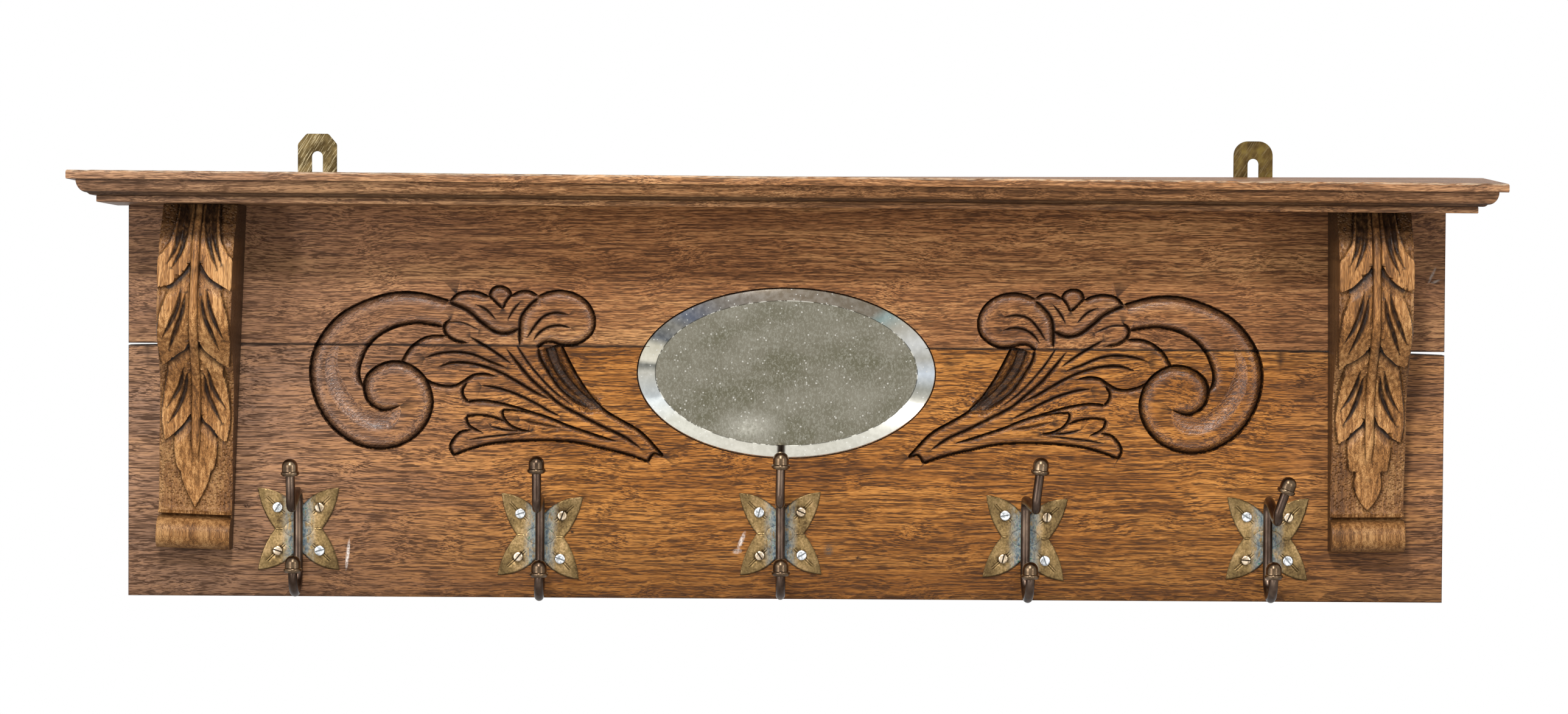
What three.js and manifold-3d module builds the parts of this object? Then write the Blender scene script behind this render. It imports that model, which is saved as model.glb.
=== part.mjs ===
// A carved oak hat-and-coat rack for a wall: a moulded shelf on two leaf-carved brackets, a back of two
// boards with a pair of incised acanthus scrolls, an oval bevelled mirror, and five double brass hooks
// on butterfly plates. It hangs on two slotted brass plates that are let into the back.
//
// Millimetres. X runs along the width, to the right as one faces the rack. The wall is the plane y = 0
// and the rack stands out from it towards -Y. Z is up, from the middle of the back's height.

import * as THREE from "three";
import { mergeVertices } from "three/addons/utils/BufferGeometryUtils.js";
import Module from "manifold-3d";

// ---------------------------------------------------------------- driving dimensions

// The two boards of the back. They have shrunk apart, so their joint is a slit that opens at the ends.
const BACK_BEYOND_BRACKET = 37.2; // from a bracket's outer side, at its top, to the end of the back
const BOARD_THICKNESS = 18;
const LOWER_BOARD_HEIGHT = 208.8;
const UPPER_BOARD_HEIGHT = 116.3;
const JOINT_GAP_MIDDLE = 0.5;
const JOINT_GAP_LEFT = 1.8;
const JOINT_GAP_RIGHT = 2.8;
const JOINT_FALL = 0.75; // the joint runs downhill by this much from the middle to the right end
const CHIP_WIDTH = 5; // the chipped corner at the lower board's right end
const CHIP_HEIGHT = 2;

// The shelf. Its edge moulding, from the top: a fillet, a quarter round, a sloping quirk, a low fillet.
const SHELF_OVERHANG = 34; // past the back at each end
const SHELF_DEPTH = 145;
const TOP_FILLET_HEIGHT = 7.3;
const TOP_FILLET_STEP = 7;
const ROUND_HEIGHT = 10.5;
const ROUND_DEPTH = 8.2;
const QUIRK_HEIGHT = 2;
const QUIRK_DEPTH = 6.8;
const LOW_FILLET_HEIGHT = 5.4;
const SHELF_EDGE_WEAR = 0.8; // the worn arris along the top
const SHELF_TWIST = 2.3; // each corner stands this far above or below a flat shelf

// The brackets: blocks with an S-shaped front that ends in a roll.
const BRACKET_WIDTH = 60.6;
const BRACKET_DEPTH = 90.5; // from the board's face to the furthest point of the front
const BRACKET_LEAN_LEFT = 2.2; // degrees, foot outwards
const BRACKET_LEAN_RIGHT = 0.5;
const BRACKET_FOOT_LEFT = 40.8; // from the back's lower edge to the underside of the roll
const BRACKET_FOOT_RIGHT = 43.4;
const ROLL_RADIUS = 12.9;
const ROLL_CENTRE_DEPTH = 20;
const ROLL_GROOVE_HEIGHT = 2.6;
const ROLL_GROOVE_DEPTH = 15;
const GROUND_DEPTH = 4; // how far the ground lies below the leaf
const STEM_RADIUS = 3.9;
const STEM_RISE = 1.7;

// The mirror and its bevel.
const MIRROR_WIDTH = 247.4;
const MIRROR_HEIGHT = 141.4;
const MIRROR_THICKNESS = 5;
const MIRROR_EDGE_THICKNESS = 2.6;
const BEVEL_WIDTH_SIDES = 15.1;
const BEVEL_WIDTH_TOP = 10.7;
const MIRROR_ABOVE_MIDDLE = 24.9;
const MIRROR_SET_BACK = 0.5; // from the board's face to the flat of the mirror
const MIRROR_PLAY = 0.6; // all round, between the glass and its recess

// The hanging plates.
const HANGER_WIDTH = 32.6;
const HANGER_THICKNESS = 2;
const HANGER_HEIGHT = 106;
const HANGER_FROM_LEFT_END = 154.9; // from the back's end to the plate's centre line
const HANGER_FROM_RIGHT_END = 158.7;
const HANGER_RISE_LEFT = 33.3; // above a flat shelf's top
const HANGER_RISE_RIGHT = 31.4;
const HANGER_CORNER_LEFT = 8.5; // cut across
const HANGER_CORNER_RIGHT = 13; // rounded
const SLOT_WIDTH = 9;
const SLOT_LENGTH = 36;
const SLOT_BELOW_TOP = 14.6;
const HANGER_SCREW_SPACING = 22;
const HANGER_SCREW_ABOVE_FOOT = 9;

// The hooks: a bent rod with a domed cap on each end, on a thin pressed plate held by four screws.
const HOOK_SPACING = 200;
const HOOK_TO_BRACKET = 78.5; // from an end hook's even place to the bracket's centre line at its top
const ROD_RADIUS = 3.85;
const PLATE_THICKNESS = 1.2;
const PLATE_TIP_X = 33.8;
const PLATE_TIP_Z = 34.2;
const PLATE_WAIST_X = 19.6;
const PLATE_NOTCH_X = 3.2;
const PLATE_NOTCH_Z = 19.6;
const SCREW_X = 17.4;
const SCREW_Z = 18;
const ARCH_TOP = 32; // the rod's centre line above the plate's middle, where it leaves the board
const ARCH_RADIUS = 9;
const UPPER_REACH = 60; // from the board's face to the upper arm's centre line
const UPPER_FALL = 4; // the prong falls by this much on its way out
const UPPER_TURN_RADIUS = 8;
const UPPER_ARM = 28.8; // from the lowest point of the prong up to the rod's end under the cap
const LOWER_REACH = 44.5;
const LOWER_BEND_DROP = 32.1; // from the plate's middle to the centre of the lower bend
const LOWER_BEND_DEPTH = 16; // from there down to the centre line's lowest point
const LOWER_ARM = 1; // above the centre of the lower bend
const CAP_DOME_RADIUS = 6.35;
const CAP_RIM_RADIUS = 7.6;
const CAP_RIM_HEIGHT = 2.4;
const CAP_COLLAR_RADIUS = 6.1;
const CAP_COLLAR_HEIGHT = 0.6;
const CAP_HEIGHT = 14.4;

// Each hook as it was fixed and has been bent in use: how far it is beside its even place, its height
// above the back's lower edge, the turn of its plate in degrees; how far the upper prong is bent down,
// how much shorter its arm stands, how far the arm has gone sideways at its foot and at its cap; how far
// the lower prong is bent down, and how far its cap has gone sideways.
const HOOKS = [
  {
    aside: -4.4, height: 56.3, turn: 0.2,
    droop: 7, shorter: 2.9, footAside: -0.8, capAside: -1.3,
    sag: 2.4, lowerAside: -0.5,
  },
  {
    aside: -3.7, height: 51.4, turn: -2.7,
    droop: 1.6, shorter: 0, footAside: -0.2, capAside: -0.4,
    sag: 0, lowerAside: 1.2,
  },
  {
    aside: -4.2, height: 54.5, turn: 0.9,
    droop: 0, shorter: 0.2, footAside: -0.4, capAside: 0,
    sag: 1, lowerAside: 0.5,
  },
  {
    aside: -0.9, height: 52, turn: -2.4,
    droop: 1, shorter: 0, footAside: 6.2, capAside: 8.8,
    sag: 0, lowerAside: 2.4,
  },
  {
    aside: 0.3, height: 52.5, turn: -0.6,
    droop: 10, shorter: 5.9, footAside: 3.2, capAside: 8.5,
    sag: -0.6, lowerAside: 1.4,
  },
];

// The screws.
const HOOK_SCREW_HEAD_RADIUS = 4.3;
const HOOK_SCREW_HEAD_HEIGHT = 2.1;
const HOOK_SCREW_SHANK_RADIUS = 1.7;
const HOOK_SCREW_LENGTH = 12;
const BIG_SCREW_HEAD_RADIUS = 4.2;
const BIG_SCREW_HEAD_HEIGHT = 2.6;
const BIG_SCREW_SHANK_RADIUS = 2.1;
const BRACKET_SCREW_LENGTH = 36;
const HANGER_SCREW_LENGTH = 14;
const SHELF_SCREW_LENGTH = 58;
const SHELF_SCREW_SPACING = 430;
const BRACKET_SCREW_HEIGHTS = [110, -10]; // from the middle of the back's height
const DRIVER_SLOT_WIDTH = 1.1;
const DRIVER_SLOT_DEPTH = 1.1;

// The carving.
const GROOVE_DEPTH = 2.6;
const GROOVE_STEEP_SIDE = 0.7;
const GROOVE_SLOPE_SIDE = 3.4;
const VEIN_WIDTH = 2.6;
const VEIN_DEPTH = 1.6;
const GOUGE_WIDTH = 4.6;
const GOUGE_DEPTH = 2.8;
const HOLLOW_WIDTH = 8;
const HOLLOW_DEPTH = 3.4;

// How finely the round pieces are faceted.
const SCREW_SIDES = 8;
const ROD_SIDES = 8;
const CAP_SIDES = 8;

// Fits.
const SEAT_GAP = 0.3; // between a piece and what it is screwed, glued or let into
const SCREW_GAP = 0.3; // round a shank in its hole

// ---------------------------------------------------------------- sizes that follow

const BRACKET_SPACING = (HOOKS.length - 1) * HOOK_SPACING + 2 * HOOK_TO_BRACKET; // at their tops
const BACK_WIDTH = BRACKET_SPACING + BRACKET_WIDTH + 2 * BACK_BEYOND_BRACKET;
const SHELF_LENGTH = BACK_WIDTH + 2 * SHELF_OVERHANG;
const BACK_HEIGHT = LOWER_BOARD_HEIGHT + JOINT_GAP_MIDDLE + UPPER_BOARD_HEIGHT + SEAT_GAP;
const BACK_BOTTOM = -BACK_HEIGHT / 2;
const SHELF_UNDERSIDE = BACK_HEIGHT / 2;
const SHELF_THICKNESS = LOW_FILLET_HEIGHT + QUIRK_HEIGHT + ROUND_HEIGHT + TOP_FILLET_HEIGHT;
const SHELF_TOP = SHELF_UNDERSIDE + SHELF_THICKNESS;
const JOINT_HEIGHT = BACK_BOTTOM + LOWER_BOARD_HEIGHT;
const FACE = -BOARD_THICKNESS; // y of the boards' front
const MIRROR_RECESS = MIRROR_SET_BACK + MIRROR_THICKNESS + SEAT_GAP;

// ---------------------------------------------------------------- helpers

const wasm = await Module();
wasm.setup();

const rack = new THREE.Group();

const OAK = new THREE.MeshStandardMaterial({ color: "#8a5a33", roughness: 0.55, metalness: 0 });
const OAK_DARK = new THREE.MeshStandardMaterial({ color: "#7a4c29", roughness: 0.5, metalness: 0 });
const SILVERED_GLASS = new THREE.MeshStandardMaterial({ color: "#9a9a8c", roughness: 0.12, metalness: 0.9 });
const PLATE_BRASS = new THREE.MeshStandardMaterial({ color: "#8a7040", roughness: 0.45, metalness: 1 });
const ROD_BRONZE = new THREE.MeshStandardMaterial({ color: "#5e4a38", roughness: 0.35, metalness: 1 });
const BRIGHT_ZINC = new THREE.MeshStandardMaterial({ color: "#c9cccf", roughness: 0.3, metalness: 1 });
const SCREW_BRASS = new THREE.MeshStandardMaterial({ color: "#b79a62", roughness: 0.35, metalness: 1 });
const HANGER_BRASS = new THREE.MeshStandardMaterial({ color: "#a98b4a", roughness: 0.4, metalness: 1 });
const STEEL = new THREE.MeshStandardMaterial({ color: "#7d7d7b", roughness: 0.5, metalness: 1 });

function addPart(name, shape, material) {
  const geometry = shape.isBufferGeometry ? shape : geometryOf(shape);
  const mesh = new THREE.Mesh(geometry, material);
  mesh.name = name;
  rack.add(mesh);
  return mesh;
}

// A closed geometry as a solid that can be joined and cut, and back again.
function solidOf(geometry) {
  const bare = geometry.clone();
  bare.deleteAttribute("normal");
  bare.deleteAttribute("uv");
  const merged = mergeVertices(bare, 1e-4);
  return new wasm.Manifold(
    new wasm.Mesh({
      numProp: 3,
      vertProperties: new Float32Array(merged.attributes.position.array),
      triVerts: new Uint32Array(merged.index.array),
    }),
  );
}

function geometryOf(solid) {
  const mesh = solid.getMesh();
  const geometry = new THREE.BufferGeometry();
  geometry.setAttribute("position", new THREE.BufferAttribute(mesh.vertProperties, 3));
  geometry.setIndex(new THREE.BufferAttribute(mesh.triVerts, 1));
  geometry.computeVertexNormals();
  return geometry;
}

function joined(solids) {
  return solids.reduce((whole, next) => whole.add(next));
}

function shapeOf(points) {
  return new THREE.Shape(points.map(([x, y]) => new THREE.Vector2(x, y)));
}

// An outline drawn as seen from the front, x and z, made solid from y = from to y = to, to < from.
function frontPrism(shape, from, to, curveSegments = 8) {
  const depth = from - to;
  const geometry = new THREE.ExtrudeGeometry(shape, { depth, bevelEnabled: false, curveSegments });
  return geometry.rotateX(Math.PI / 2).translate(0, from, 0);
}

// An outline drawn as seen from the side, distance from the wall and z, made solid across a width.
function sidePrism(points, width) {
  const geometry = new THREE.ExtrudeGeometry(shapeOf(points), { depth: width, bevelEnabled: false });
  const turn = new THREE.Matrix4().makeBasis(
    new THREE.Vector3(0, -1, 0),
    new THREE.Vector3(0, 0, 1),
    new THREE.Vector3(-1, 0, 0),
  );
  return geometry.applyMatrix4(turn).translate(width / 2, 0, 0);
}

// A turned piece: its profile is radius and height, from the foot up, and its axis becomes `axis`.
function turned(profile, segments, axis, at) {
  const points = profile.map(([radius, height]) => new THREE.Vector2(radius, height));
  const turn = new THREE.Quaternion().setFromUnitVectors(new THREE.Vector3(0, 1, 0), axis);
  return new THREE.LatheGeometry(points, segments).applyQuaternion(turn).translate(at.x, at.y, at.z);
}

const TOWARDS_ROOM = new THREE.Vector3(0, -1, 0);
const TOWARDS_WALL = new THREE.Vector3(0, 1, 0);
const UP = new THREE.Vector3(0, 0, 1);

function quadratic(from, control, to) {
  return new THREE.QuadraticBezierCurve(
    new THREE.Vector2(...from),
    new THREE.Vector2(...control),
    new THREE.Vector2(...to),
  );
}

// How far a point of the shelf is lifted by its twist: the front falls towards the right end, and the
// back rises.
function twistAt(x, distanceFromWall) {
  const along = x / (SHELF_LENGTH / 2);
  const across = 1 - (2 * distanceFromWall) / SHELF_DEPTH;
  return SHELF_TWIST * along * across;
}

// The lowest the shelf's underside gets over a strip of the wall side, for what stands under it.
function undersideOver(x, nearWall, farFromWall) {
  return SHELF_UNDERSIDE + Math.min(twistAt(x, nearWall), twistAt(x, farFromWall));
}

// ---------------------------------------------------------------- grooves

// A cutter for one carved groove. It follows a smooth line through the points (x, z) on a surface whose
// distance from its datum is depthAt(x, z), and its section is a V: `left` and `right` are how far the
// V opens to either side of the line, `deep` its depth. The V shrinks towards open ends.
function grooveCutter(line, { left, right, deep, depthAt, step = 18, atLeast = 4, taper = 0.3 }) {
  const curve = new THREE.CatmullRomCurve3(
    line.map(([x, z]) => new THREE.Vector3(x, 0, z)),
    false,
    "centripetal",
  );
  const count = Math.max(atLeast, Math.round(curve.getLength() / step));
  const positions = [];
  const index = [];
  for (let i = 0; i <= count; i++) {
    const t = i / count;
    const at = curve.getPointAt(t);
    const ahead = curve.getTangentAt(t);
    const atEnd = i === 0 || i === count;
    const size = atEnd ? taper : 1;
    const aside = new THREE.Vector3(-ahead.z, 0, ahead.x);
    const onLeft = at.clone().addScaledVector(aside, left * size);
    const onRight = at.clone().addScaledVector(aside, -right * size);
    const proud = 0.6;
    positions.push(onLeft.x, -depthAt(onLeft.x, onLeft.z) - proud, onLeft.z);
    positions.push(onRight.x, -depthAt(onRight.x, onRight.z) - proud, onRight.z);
    positions.push(at.x, -depthAt(at.x, at.z) + deep * size, at.z);
  }
  for (let i = 0; i < count; i++) {
    const near = 3 * i;
    const far = near + 3;
    for (let side = 0; side < 3; side++) {
      const next = (side + 1) % 3;
      index.push(near + side, near + next, far + next);
      index.push(near + side, far + next, far + side);
    }
  }
  const last = 3 * count;
  index.push(0, 2, 1);
  index.push(last, last + 1, last + 2);
  const geometry = new THREE.BufferGeometry();
  geometry.setAttribute("position", new THREE.Float32BufferAttribute(positions, 3));
  geometry.setIndex(index);
  return solidOf(geometry);
}

// ---------------------------------------------------------------- the scroll carving

// One scroll, as lines of (distance from the mirror's centre line, height above the mirror's centre).
// An edge is cut steep on its outer side, and its lobe slopes down to it; a vein is a plain V.
const SCROLL_EDGES = {
  outer_c: [
    [280, 58.5], [303, 64.5], [325, 65], [347, 59], [368, 48.5], [384, 32], [394, 10.5],
    [394.5, -10.5], [388, -31], [374, -50], [352.5, -62.5], [331.5, -64.5], [312, -57.5],
    [298.5, -43], [293.5, -25.5], [299, -7], [309.5, 3.5], [323, 8], [337.5, 5], [348.5, -4.5],
    [350.5, -16], [346, -27], [335.5, -33], [320, -28.5],
  ],
  leaf_left: [[247, 62], [253.5, 65], [262.5, 66.5], [273, 64.5], [279.5, 58]],
  bud: [[228, 64], [231, 68.5], [237.5, 71], [244, 69], [247, 63]],
  leaf_right: [[206.5, 63.5], [214, 67], [222, 66.5], [228, 63]],
  round_lobe: [
    [206.5, 19.5], [202, 23.5], [194.5, 24.5], [187.5, 22.5], [178, 22], [168.5, 25.5], [160.5, 33.5],
    [159, 45], [164.5, 57], [175.5, 65], [188, 67.5], [198.5, 66], [206.5, 62.5],
  ],
  trumpet: [
    [101.5, -69.5], [120.5, -49.5], [136.5, -40], [150, -32], [163, -18.5], [175, -0.5], [186.5, 21.5],
  ],
  tail: [[114.5, -74.5], [110, -68], [101.5, -69.5]],
  belly: [[276, -70], [249, -61], [211.5, -57.5], [172.5, -59.5], [141.5, -66], [114.5, -74.5]],
  tip_low: [[261.5, -48.5], [273, -53], [279, -63.5], [276, -70]],
  tip_middle: [[233.5, -41.5], [243.5, -38], [255, -36.5], [265.5, -37.5], [261.5, -46], [252, -50.5]],
  tip_high: [[206.5, -35.5], [223, -32.5], [235.5, -32], [230, -43.5], [213, -49.5]],
  middle_leaf: [
    [265, -9.5], [268.5, -15.5], [264, -25], [240.5, -25.5], [211.5, -33.5], [182.5, -44.5],
    [152.5, -55],
  ],
  middle_top: [[299.5, -6], [280, -12], [267, -7.5], [256, -2], [240.5, -4]],
};
const SCROLL_SLOPES = {
  inner_c: [[285.5, 37], [308, 39.5], [328, 35], [344.5, 23.5], [353, 7], [354.5, -3.5], [351.5, -13.5]],
  lobe_top: [[319.5, 8], [312.5, 19], [303, 26.5], [283, 29.5]],
  tongue: [[279, 43.5], [284, 37.5], [279, 28], [264.5, 23.5]],
  calyx: [[279.5, 57], [265, 50.5], [252.5, 40], [242, 33], [232, 31.5], [221.5, 36]],
  crease: [[206.5, 60.5], [214, 54.5], [220, 46], [221.5, 36], [221.5, 22.5]],
  trumpet_left: [[206, 19.5], [204.5, 12], [198, 0.5], [188.5, -13], [168, -28]],
};
const SCROLL_VEINS = {
  stem: [[232, 18.5], [210.5, -7.5], [187.5, -27], [152.5, -45.5], [120, -63.5]],
  vein_high: [[300.5, 11], [274.5, 16], [260, 14], [232, 3]],
  vein_middle: [[289, 3.5], [265, 7], [236, -1.5], [197, -22.5]],
};

// The scroll is drawn for a back 1092 wide and 325.9 high, and stretched to this one.
const SCROLL_STRETCH = { out: BACK_WIDTH / 1092, up: BACK_HEIGHT / 325.9 };

// side is -1 for the scroll on the left of the mirror and 1 for the one on the right.
function scrollCutter(side) {
  const onFace = { depthAt: () => BOARD_THICKNESS };
  const place = ([out, up]) => [
    side * out * SCROLL_STRETCH.out,
    MIRROR_ABOVE_MIDDLE + up * SCROLL_STRETCH.up,
  ];
  // The lobe lies to the right of an edge on the right-hand scroll, and to its left on the other.
  const groove = (line, lobeSide, otherSide) => {
    const [left, right] = side < 0 ? [lobeSide, otherSide] : [otherSide, lobeSide];
    return grooveCutter(line.map(place), { left, right, deep: GROOVE_DEPTH, ...onFace });
  };
  const vein = (line) => {
    const half = VEIN_WIDTH / 2;
    const section = { left: half, right: half, deep: VEIN_DEPTH, step: 24, atLeast: 3 };
    return grooveCutter(line.map(place), { ...section, ...onFace });
  };
  return joined([
    ...Object.values(SCROLL_EDGES).map((line) => groove(line, GROOVE_SLOPE_SIDE, GROOVE_STEEP_SIDE)),
    ...Object.values(SCROLL_SLOPES).map((line) => groove(line, GROOVE_STEEP_SIDE, GROOVE_SLOPE_SIDE)),
    ...Object.values(SCROLL_VEINS).map(vein),
  ]);
}

// ---------------------------------------------------------------- screws

// A slotted screw. Its head stands on the point `at` and points along `out`; the shank goes the other
// way. `flat` gives a countersunk head, which lies below `at`.
function screw({ at, out, headRadius, headHeight, shankRadius, length, slotAngle, flat = false }) {
  const point = [[0, -length], [shankRadius, -length + 2 * shankRadius]];
  const head = flat
    ? [[shankRadius, -headHeight], [headRadius, 0], [0, 0]]
    : [[shankRadius, 0], [headRadius, 0], [headRadius * 0.9, headHeight * 0.6], [0, headHeight]];
  const body = turned([...point, ...head], SCREW_SIDES, out, at);
  const top = flat ? 0 : headHeight;
  const slot = new THREE.BoxGeometry(3 * headRadius, 2 * DRIVER_SLOT_DEPTH, DRIVER_SLOT_WIDTH);
  slot.rotateY(THREE.MathUtils.degToRad(slotAngle)).translate(0, top, 0);
  slot.applyQuaternion(new THREE.Quaternion().setFromUnitVectors(new THREE.Vector3(0, 1, 0), out));
  slot.translate(at.x, at.y, at.z);
  return solidOf(body).subtract(solidOf(slot));
}

// The hole that a screw's shank, and a countersunk head, go through.
function screwHole({ at, out, headRadius, headHeight, shankRadius, length, flat = false }) {
  const radius = shankRadius + SCREW_GAP;
  const below = -length - SCREW_GAP;
  const wide = headRadius + SCREW_GAP;
  const countersink = flat ? [[radius, -headHeight], [wide, 0], [wide, 1]] : [[radius, 1]];
  const profile = [[0, below], [radius, below], ...countersink, [0, 1]];
  return solidOf(turned(profile, SCREW_SIDES, out, at));
}

// ---------------------------------------------------------------- where everything is screwed

const hookX = (number) => (number - (HOOKS.length - 1) / 2) * HOOK_SPACING + HOOKS[number].aside;
const HOOK_CORNERS = {
  upper_left: { x: -1, z: 1, slotAngle: 70, material: BRIGHT_ZINC },
  upper_right: { x: 1, z: 1, slotAngle: -25, material: SCREW_BRASS },
  lower_left: { x: -1, z: -1, slotAngle: 15, material: SCREW_BRASS },
  lower_right: { x: 1, z: -1, slotAngle: -50, material: BRIGHT_ZINC },
};

// A point of a hook's plate, from the plate's middle, in the rack.
function onPlate(number, x, z) {
  const turn = THREE.MathUtils.degToRad(HOOKS[number].turn);
  const middle = BACK_BOTTOM + HOOKS[number].height;
  return {
    x: hookX(number) + x * Math.cos(turn) - z * Math.sin(turn),
    z: middle + x * Math.sin(turn) + z * Math.cos(turn),
  };
}

function hookScrew(number, corner) {
  const point = onPlate(number, corner.x * SCREW_X, corner.z * SCREW_Z);
  return {
    at: new THREE.Vector3(point.x, FACE - SEAT_GAP - PLATE_THICKNESS - SEAT_GAP, point.z),
    out: TOWARDS_ROOM,
    headRadius: HOOK_SCREW_HEAD_RADIUS,
    headHeight: HOOK_SCREW_HEAD_HEIGHT,
    shankRadius: HOOK_SCREW_SHANK_RADIUS,
    length: HOOK_SCREW_LENGTH,
    slotAngle: corner.slotAngle + 37 * number,
  };
}

const BRACKETS = {
  left: { side: -1, lean: BRACKET_LEAN_LEFT, foot: BRACKET_FOOT_LEFT },
  right: { side: 1, lean: BRACKET_LEAN_RIGHT, foot: BRACKET_FOOT_RIGHT },
};

// A point of a bracket's centre line at height z, leaning from its top.
function bracketCentre(bracket, z) {
  const slope = Math.tan(THREE.MathUtils.degToRad(bracket.lean));
  return bracket.side * (BRACKET_SPACING / 2 + (SHELF_UNDERSIDE - z) * slope);
}

const bigScrew = {
  headRadius: BIG_SCREW_HEAD_RADIUS,
  headHeight: BIG_SCREW_HEAD_HEIGHT,
  shankRadius: BIG_SCREW_SHANK_RADIUS,
  flat: true,
};

function bracketScrew(bracket, number) {
  const z = BRACKET_SCREW_HEIGHTS[number];
  return {
    ...bigScrew,
    at: new THREE.Vector3(bracketCentre(bracket, z), -SEAT_GAP, z),
    out: TOWARDS_WALL,
    length: BRACKET_SCREW_LENGTH,
    slotAngle: 20 + 60 * number,
  };
}

function shelfScrew(number) {
  const x = (number - 1) * SHELF_SCREW_SPACING;
  const z = SHELF_TOP + twistAt(x, BOARD_THICKNESS / 2) - SEAT_GAP;
  return {
    ...bigScrew,
    at: new THREE.Vector3(x, -BOARD_THICKNESS / 2, z),
    out: UP,
    length: SHELF_SCREW_LENGTH,
    slotAngle: 35 * number,
  };
}

const HANGERS = {
  left: {
    x: HANGER_FROM_LEFT_END - BACK_WIDTH / 2,
    rise: HANGER_RISE_LEFT,
    corner: HANGER_CORNER_LEFT,
    rounded: false,
  },
  right: {
    x: BACK_WIDTH / 2 - HANGER_FROM_RIGHT_END,
    rise: HANGER_RISE_RIGHT,
    corner: HANGER_CORNER_RIGHT,
    rounded: true,
  },
};

function hangerScrew(hanger, number) {
  const top = SHELF_TOP + hanger.rise;
  const z = top - HANGER_HEIGHT + HANGER_SCREW_ABOVE_FOOT + number * HANGER_SCREW_SPACING;
  return {
    ...bigScrew,
    headHeight: HANGER_THICKNESS,
    at: new THREE.Vector3(hanger.x, -SEAT_GAP, z),
    out: TOWARDS_WALL,
    length: HANGER_SCREW_LENGTH,
    slotAngle: 80 - 50 * number,
  };
}

// ---------------------------------------------------------------- hanging plates

function hangerOutline(hanger, grow) {
  const half = HANGER_WIDTH / 2 + grow;
  const x = hanger.x;
  const top = SHELF_TOP + hanger.rise + grow;
  const foot = top - HANGER_HEIGHT - 2 * grow;
  const corner = hanger.corner;
  const shape = new THREE.Shape();
  shape.moveTo(x - half, foot);
  shape.lineTo(x + half, foot);
  shape.lineTo(x + half, top - corner);
  if (hanger.rounded) {
    shape.quadraticCurveTo(x + half, top, x + half - corner, top);
    shape.lineTo(x - half + corner, top);
    shape.quadraticCurveTo(x - half, top, x - half, top - corner);
  } else {
    shape.lineTo(x + half - corner, top);
    shape.lineTo(x - half + corner, top);
    shape.lineTo(x - half, top - corner);
  }
  return shape;
}

function hangerPlate(hanger) {
  const shape = hangerOutline(hanger, 0);
  const x = hanger.x;
  const slotTop = SHELF_TOP + hanger.rise - SLOT_BELOW_TOP;
  const radius = SLOT_WIDTH / 2;
  const slot = new THREE.Path();
  slot.absarc(x, slotTop - radius, radius, 0, Math.PI, false);
  slot.absarc(x, slotTop - SLOT_LENGTH + radius, radius, Math.PI, 2 * Math.PI, false);
  shape.holes.push(slot);
  let plate = solidOf(frontPrism(shape, -SEAT_GAP, -SEAT_GAP - HANGER_THICKNESS, 6));
  for (let number = 0; number < 2; number++) plate = plate.subtract(screwHole(hangerScrew(hanger, number)));
  return plate;
}

// The room that a hanging plate takes in the boards and the shelf.
function hangerRecess(hanger) {
  const depth = SEAT_GAP + HANGER_THICKNESS + SEAT_GAP;
  return solidOf(frontPrism(hangerOutline(hanger, SEAT_GAP), 1, -depth, 6));
}

// ---------------------------------------------------------------- the back

function ellipse(width, height, at = 0) {
  const shape = new THREE.Shape();
  shape.absellipse(0, at, width / 2, height / 2, 0, 2 * Math.PI, false);
  return shape;
}

function jointHeight(x) {
  return JOINT_HEIGHT - (JOINT_FALL * x) / (BACK_WIDTH / 2);
}

function backCuts() {
  const [width, height] = [MIRROR_WIDTH + 2 * MIRROR_PLAY, MIRROR_HEIGHT + 2 * MIRROR_PLAY];
  const recess = ellipse(width, height, MIRROR_ABOVE_MIDDLE);
  const cuts = [solidOf(frontPrism(recess, FACE + MIRROR_RECESS, FACE - 1, 28))];
  for (const side of [-1, 1]) cuts.push(scrollCutter(side));
  for (const hanger of Object.values(HANGERS)) {
    cuts.push(hangerRecess(hanger));
    for (let number = 0; number < 2; number++) cuts.push(screwHole(hangerScrew(hanger, number)));
  }
  for (let number = 0; number < HOOKS.length; number++) {
    for (const corner of Object.values(HOOK_CORNERS)) cuts.push(screwHole(hookScrew(number, corner)));
  }
  for (const bracket of Object.values(BRACKETS)) {
    for (let number = 0; number < BRACKET_SCREW_HEIGHTS.length; number++) {
      cuts.push(screwHole(bracketScrew(bracket, number)));
    }
  }
  for (let number = 0; number < 3; number++) cuts.push(screwHole(shelfScrew(number)));
  return joined(cuts);
}

function lowerBoard(cuts) {
  const half = BACK_WIDTH / 2;
  const shape = new THREE.Shape();
  shape.moveTo(-half, BACK_BOTTOM);
  shape.lineTo(half - 3, BACK_BOTTOM);
  shape.quadraticCurveTo(half, BACK_BOTTOM, half, BACK_BOTTOM + 3);
  const rightTop = jointHeight(half) - JOINT_GAP_RIGHT + JOINT_GAP_MIDDLE;
  const leftTop = jointHeight(-half) - JOINT_GAP_LEFT + JOINT_GAP_MIDDLE;
  shape.lineTo(half, rightTop - CHIP_HEIGHT);
  shape.lineTo(half - CHIP_WIDTH, rightTop);
  // The top edge is highest in the middle: both halves leave it level with the joint.
  shape.quadraticCurveTo(half / 2, jointHeight(half / 2), 0, JOINT_HEIGHT);
  shape.quadraticCurveTo(-half / 2, jointHeight(-half / 2), -half, leftTop);
  return solidOf(frontPrism(shape, 0, FACE, 8)).subtract(cuts);
}

function upperBoard(cuts) {
  const half = BACK_WIDTH / 2;
  const top = (x) => undersideOver(x, 0, BOARD_THICKNESS) - SEAT_GAP;
  const bottom = (x) => jointHeight(x) + JOINT_GAP_MIDDLE;
  const shape = shapeOf([
    [-half, bottom(-half)],
    [half, bottom(half)],
    [half, top(half)],
    [0, top(0)],
    [-half, top(-half)],
  ]);
  return solidOf(frontPrism(shape, 0, FACE)).subtract(cuts);
}

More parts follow.
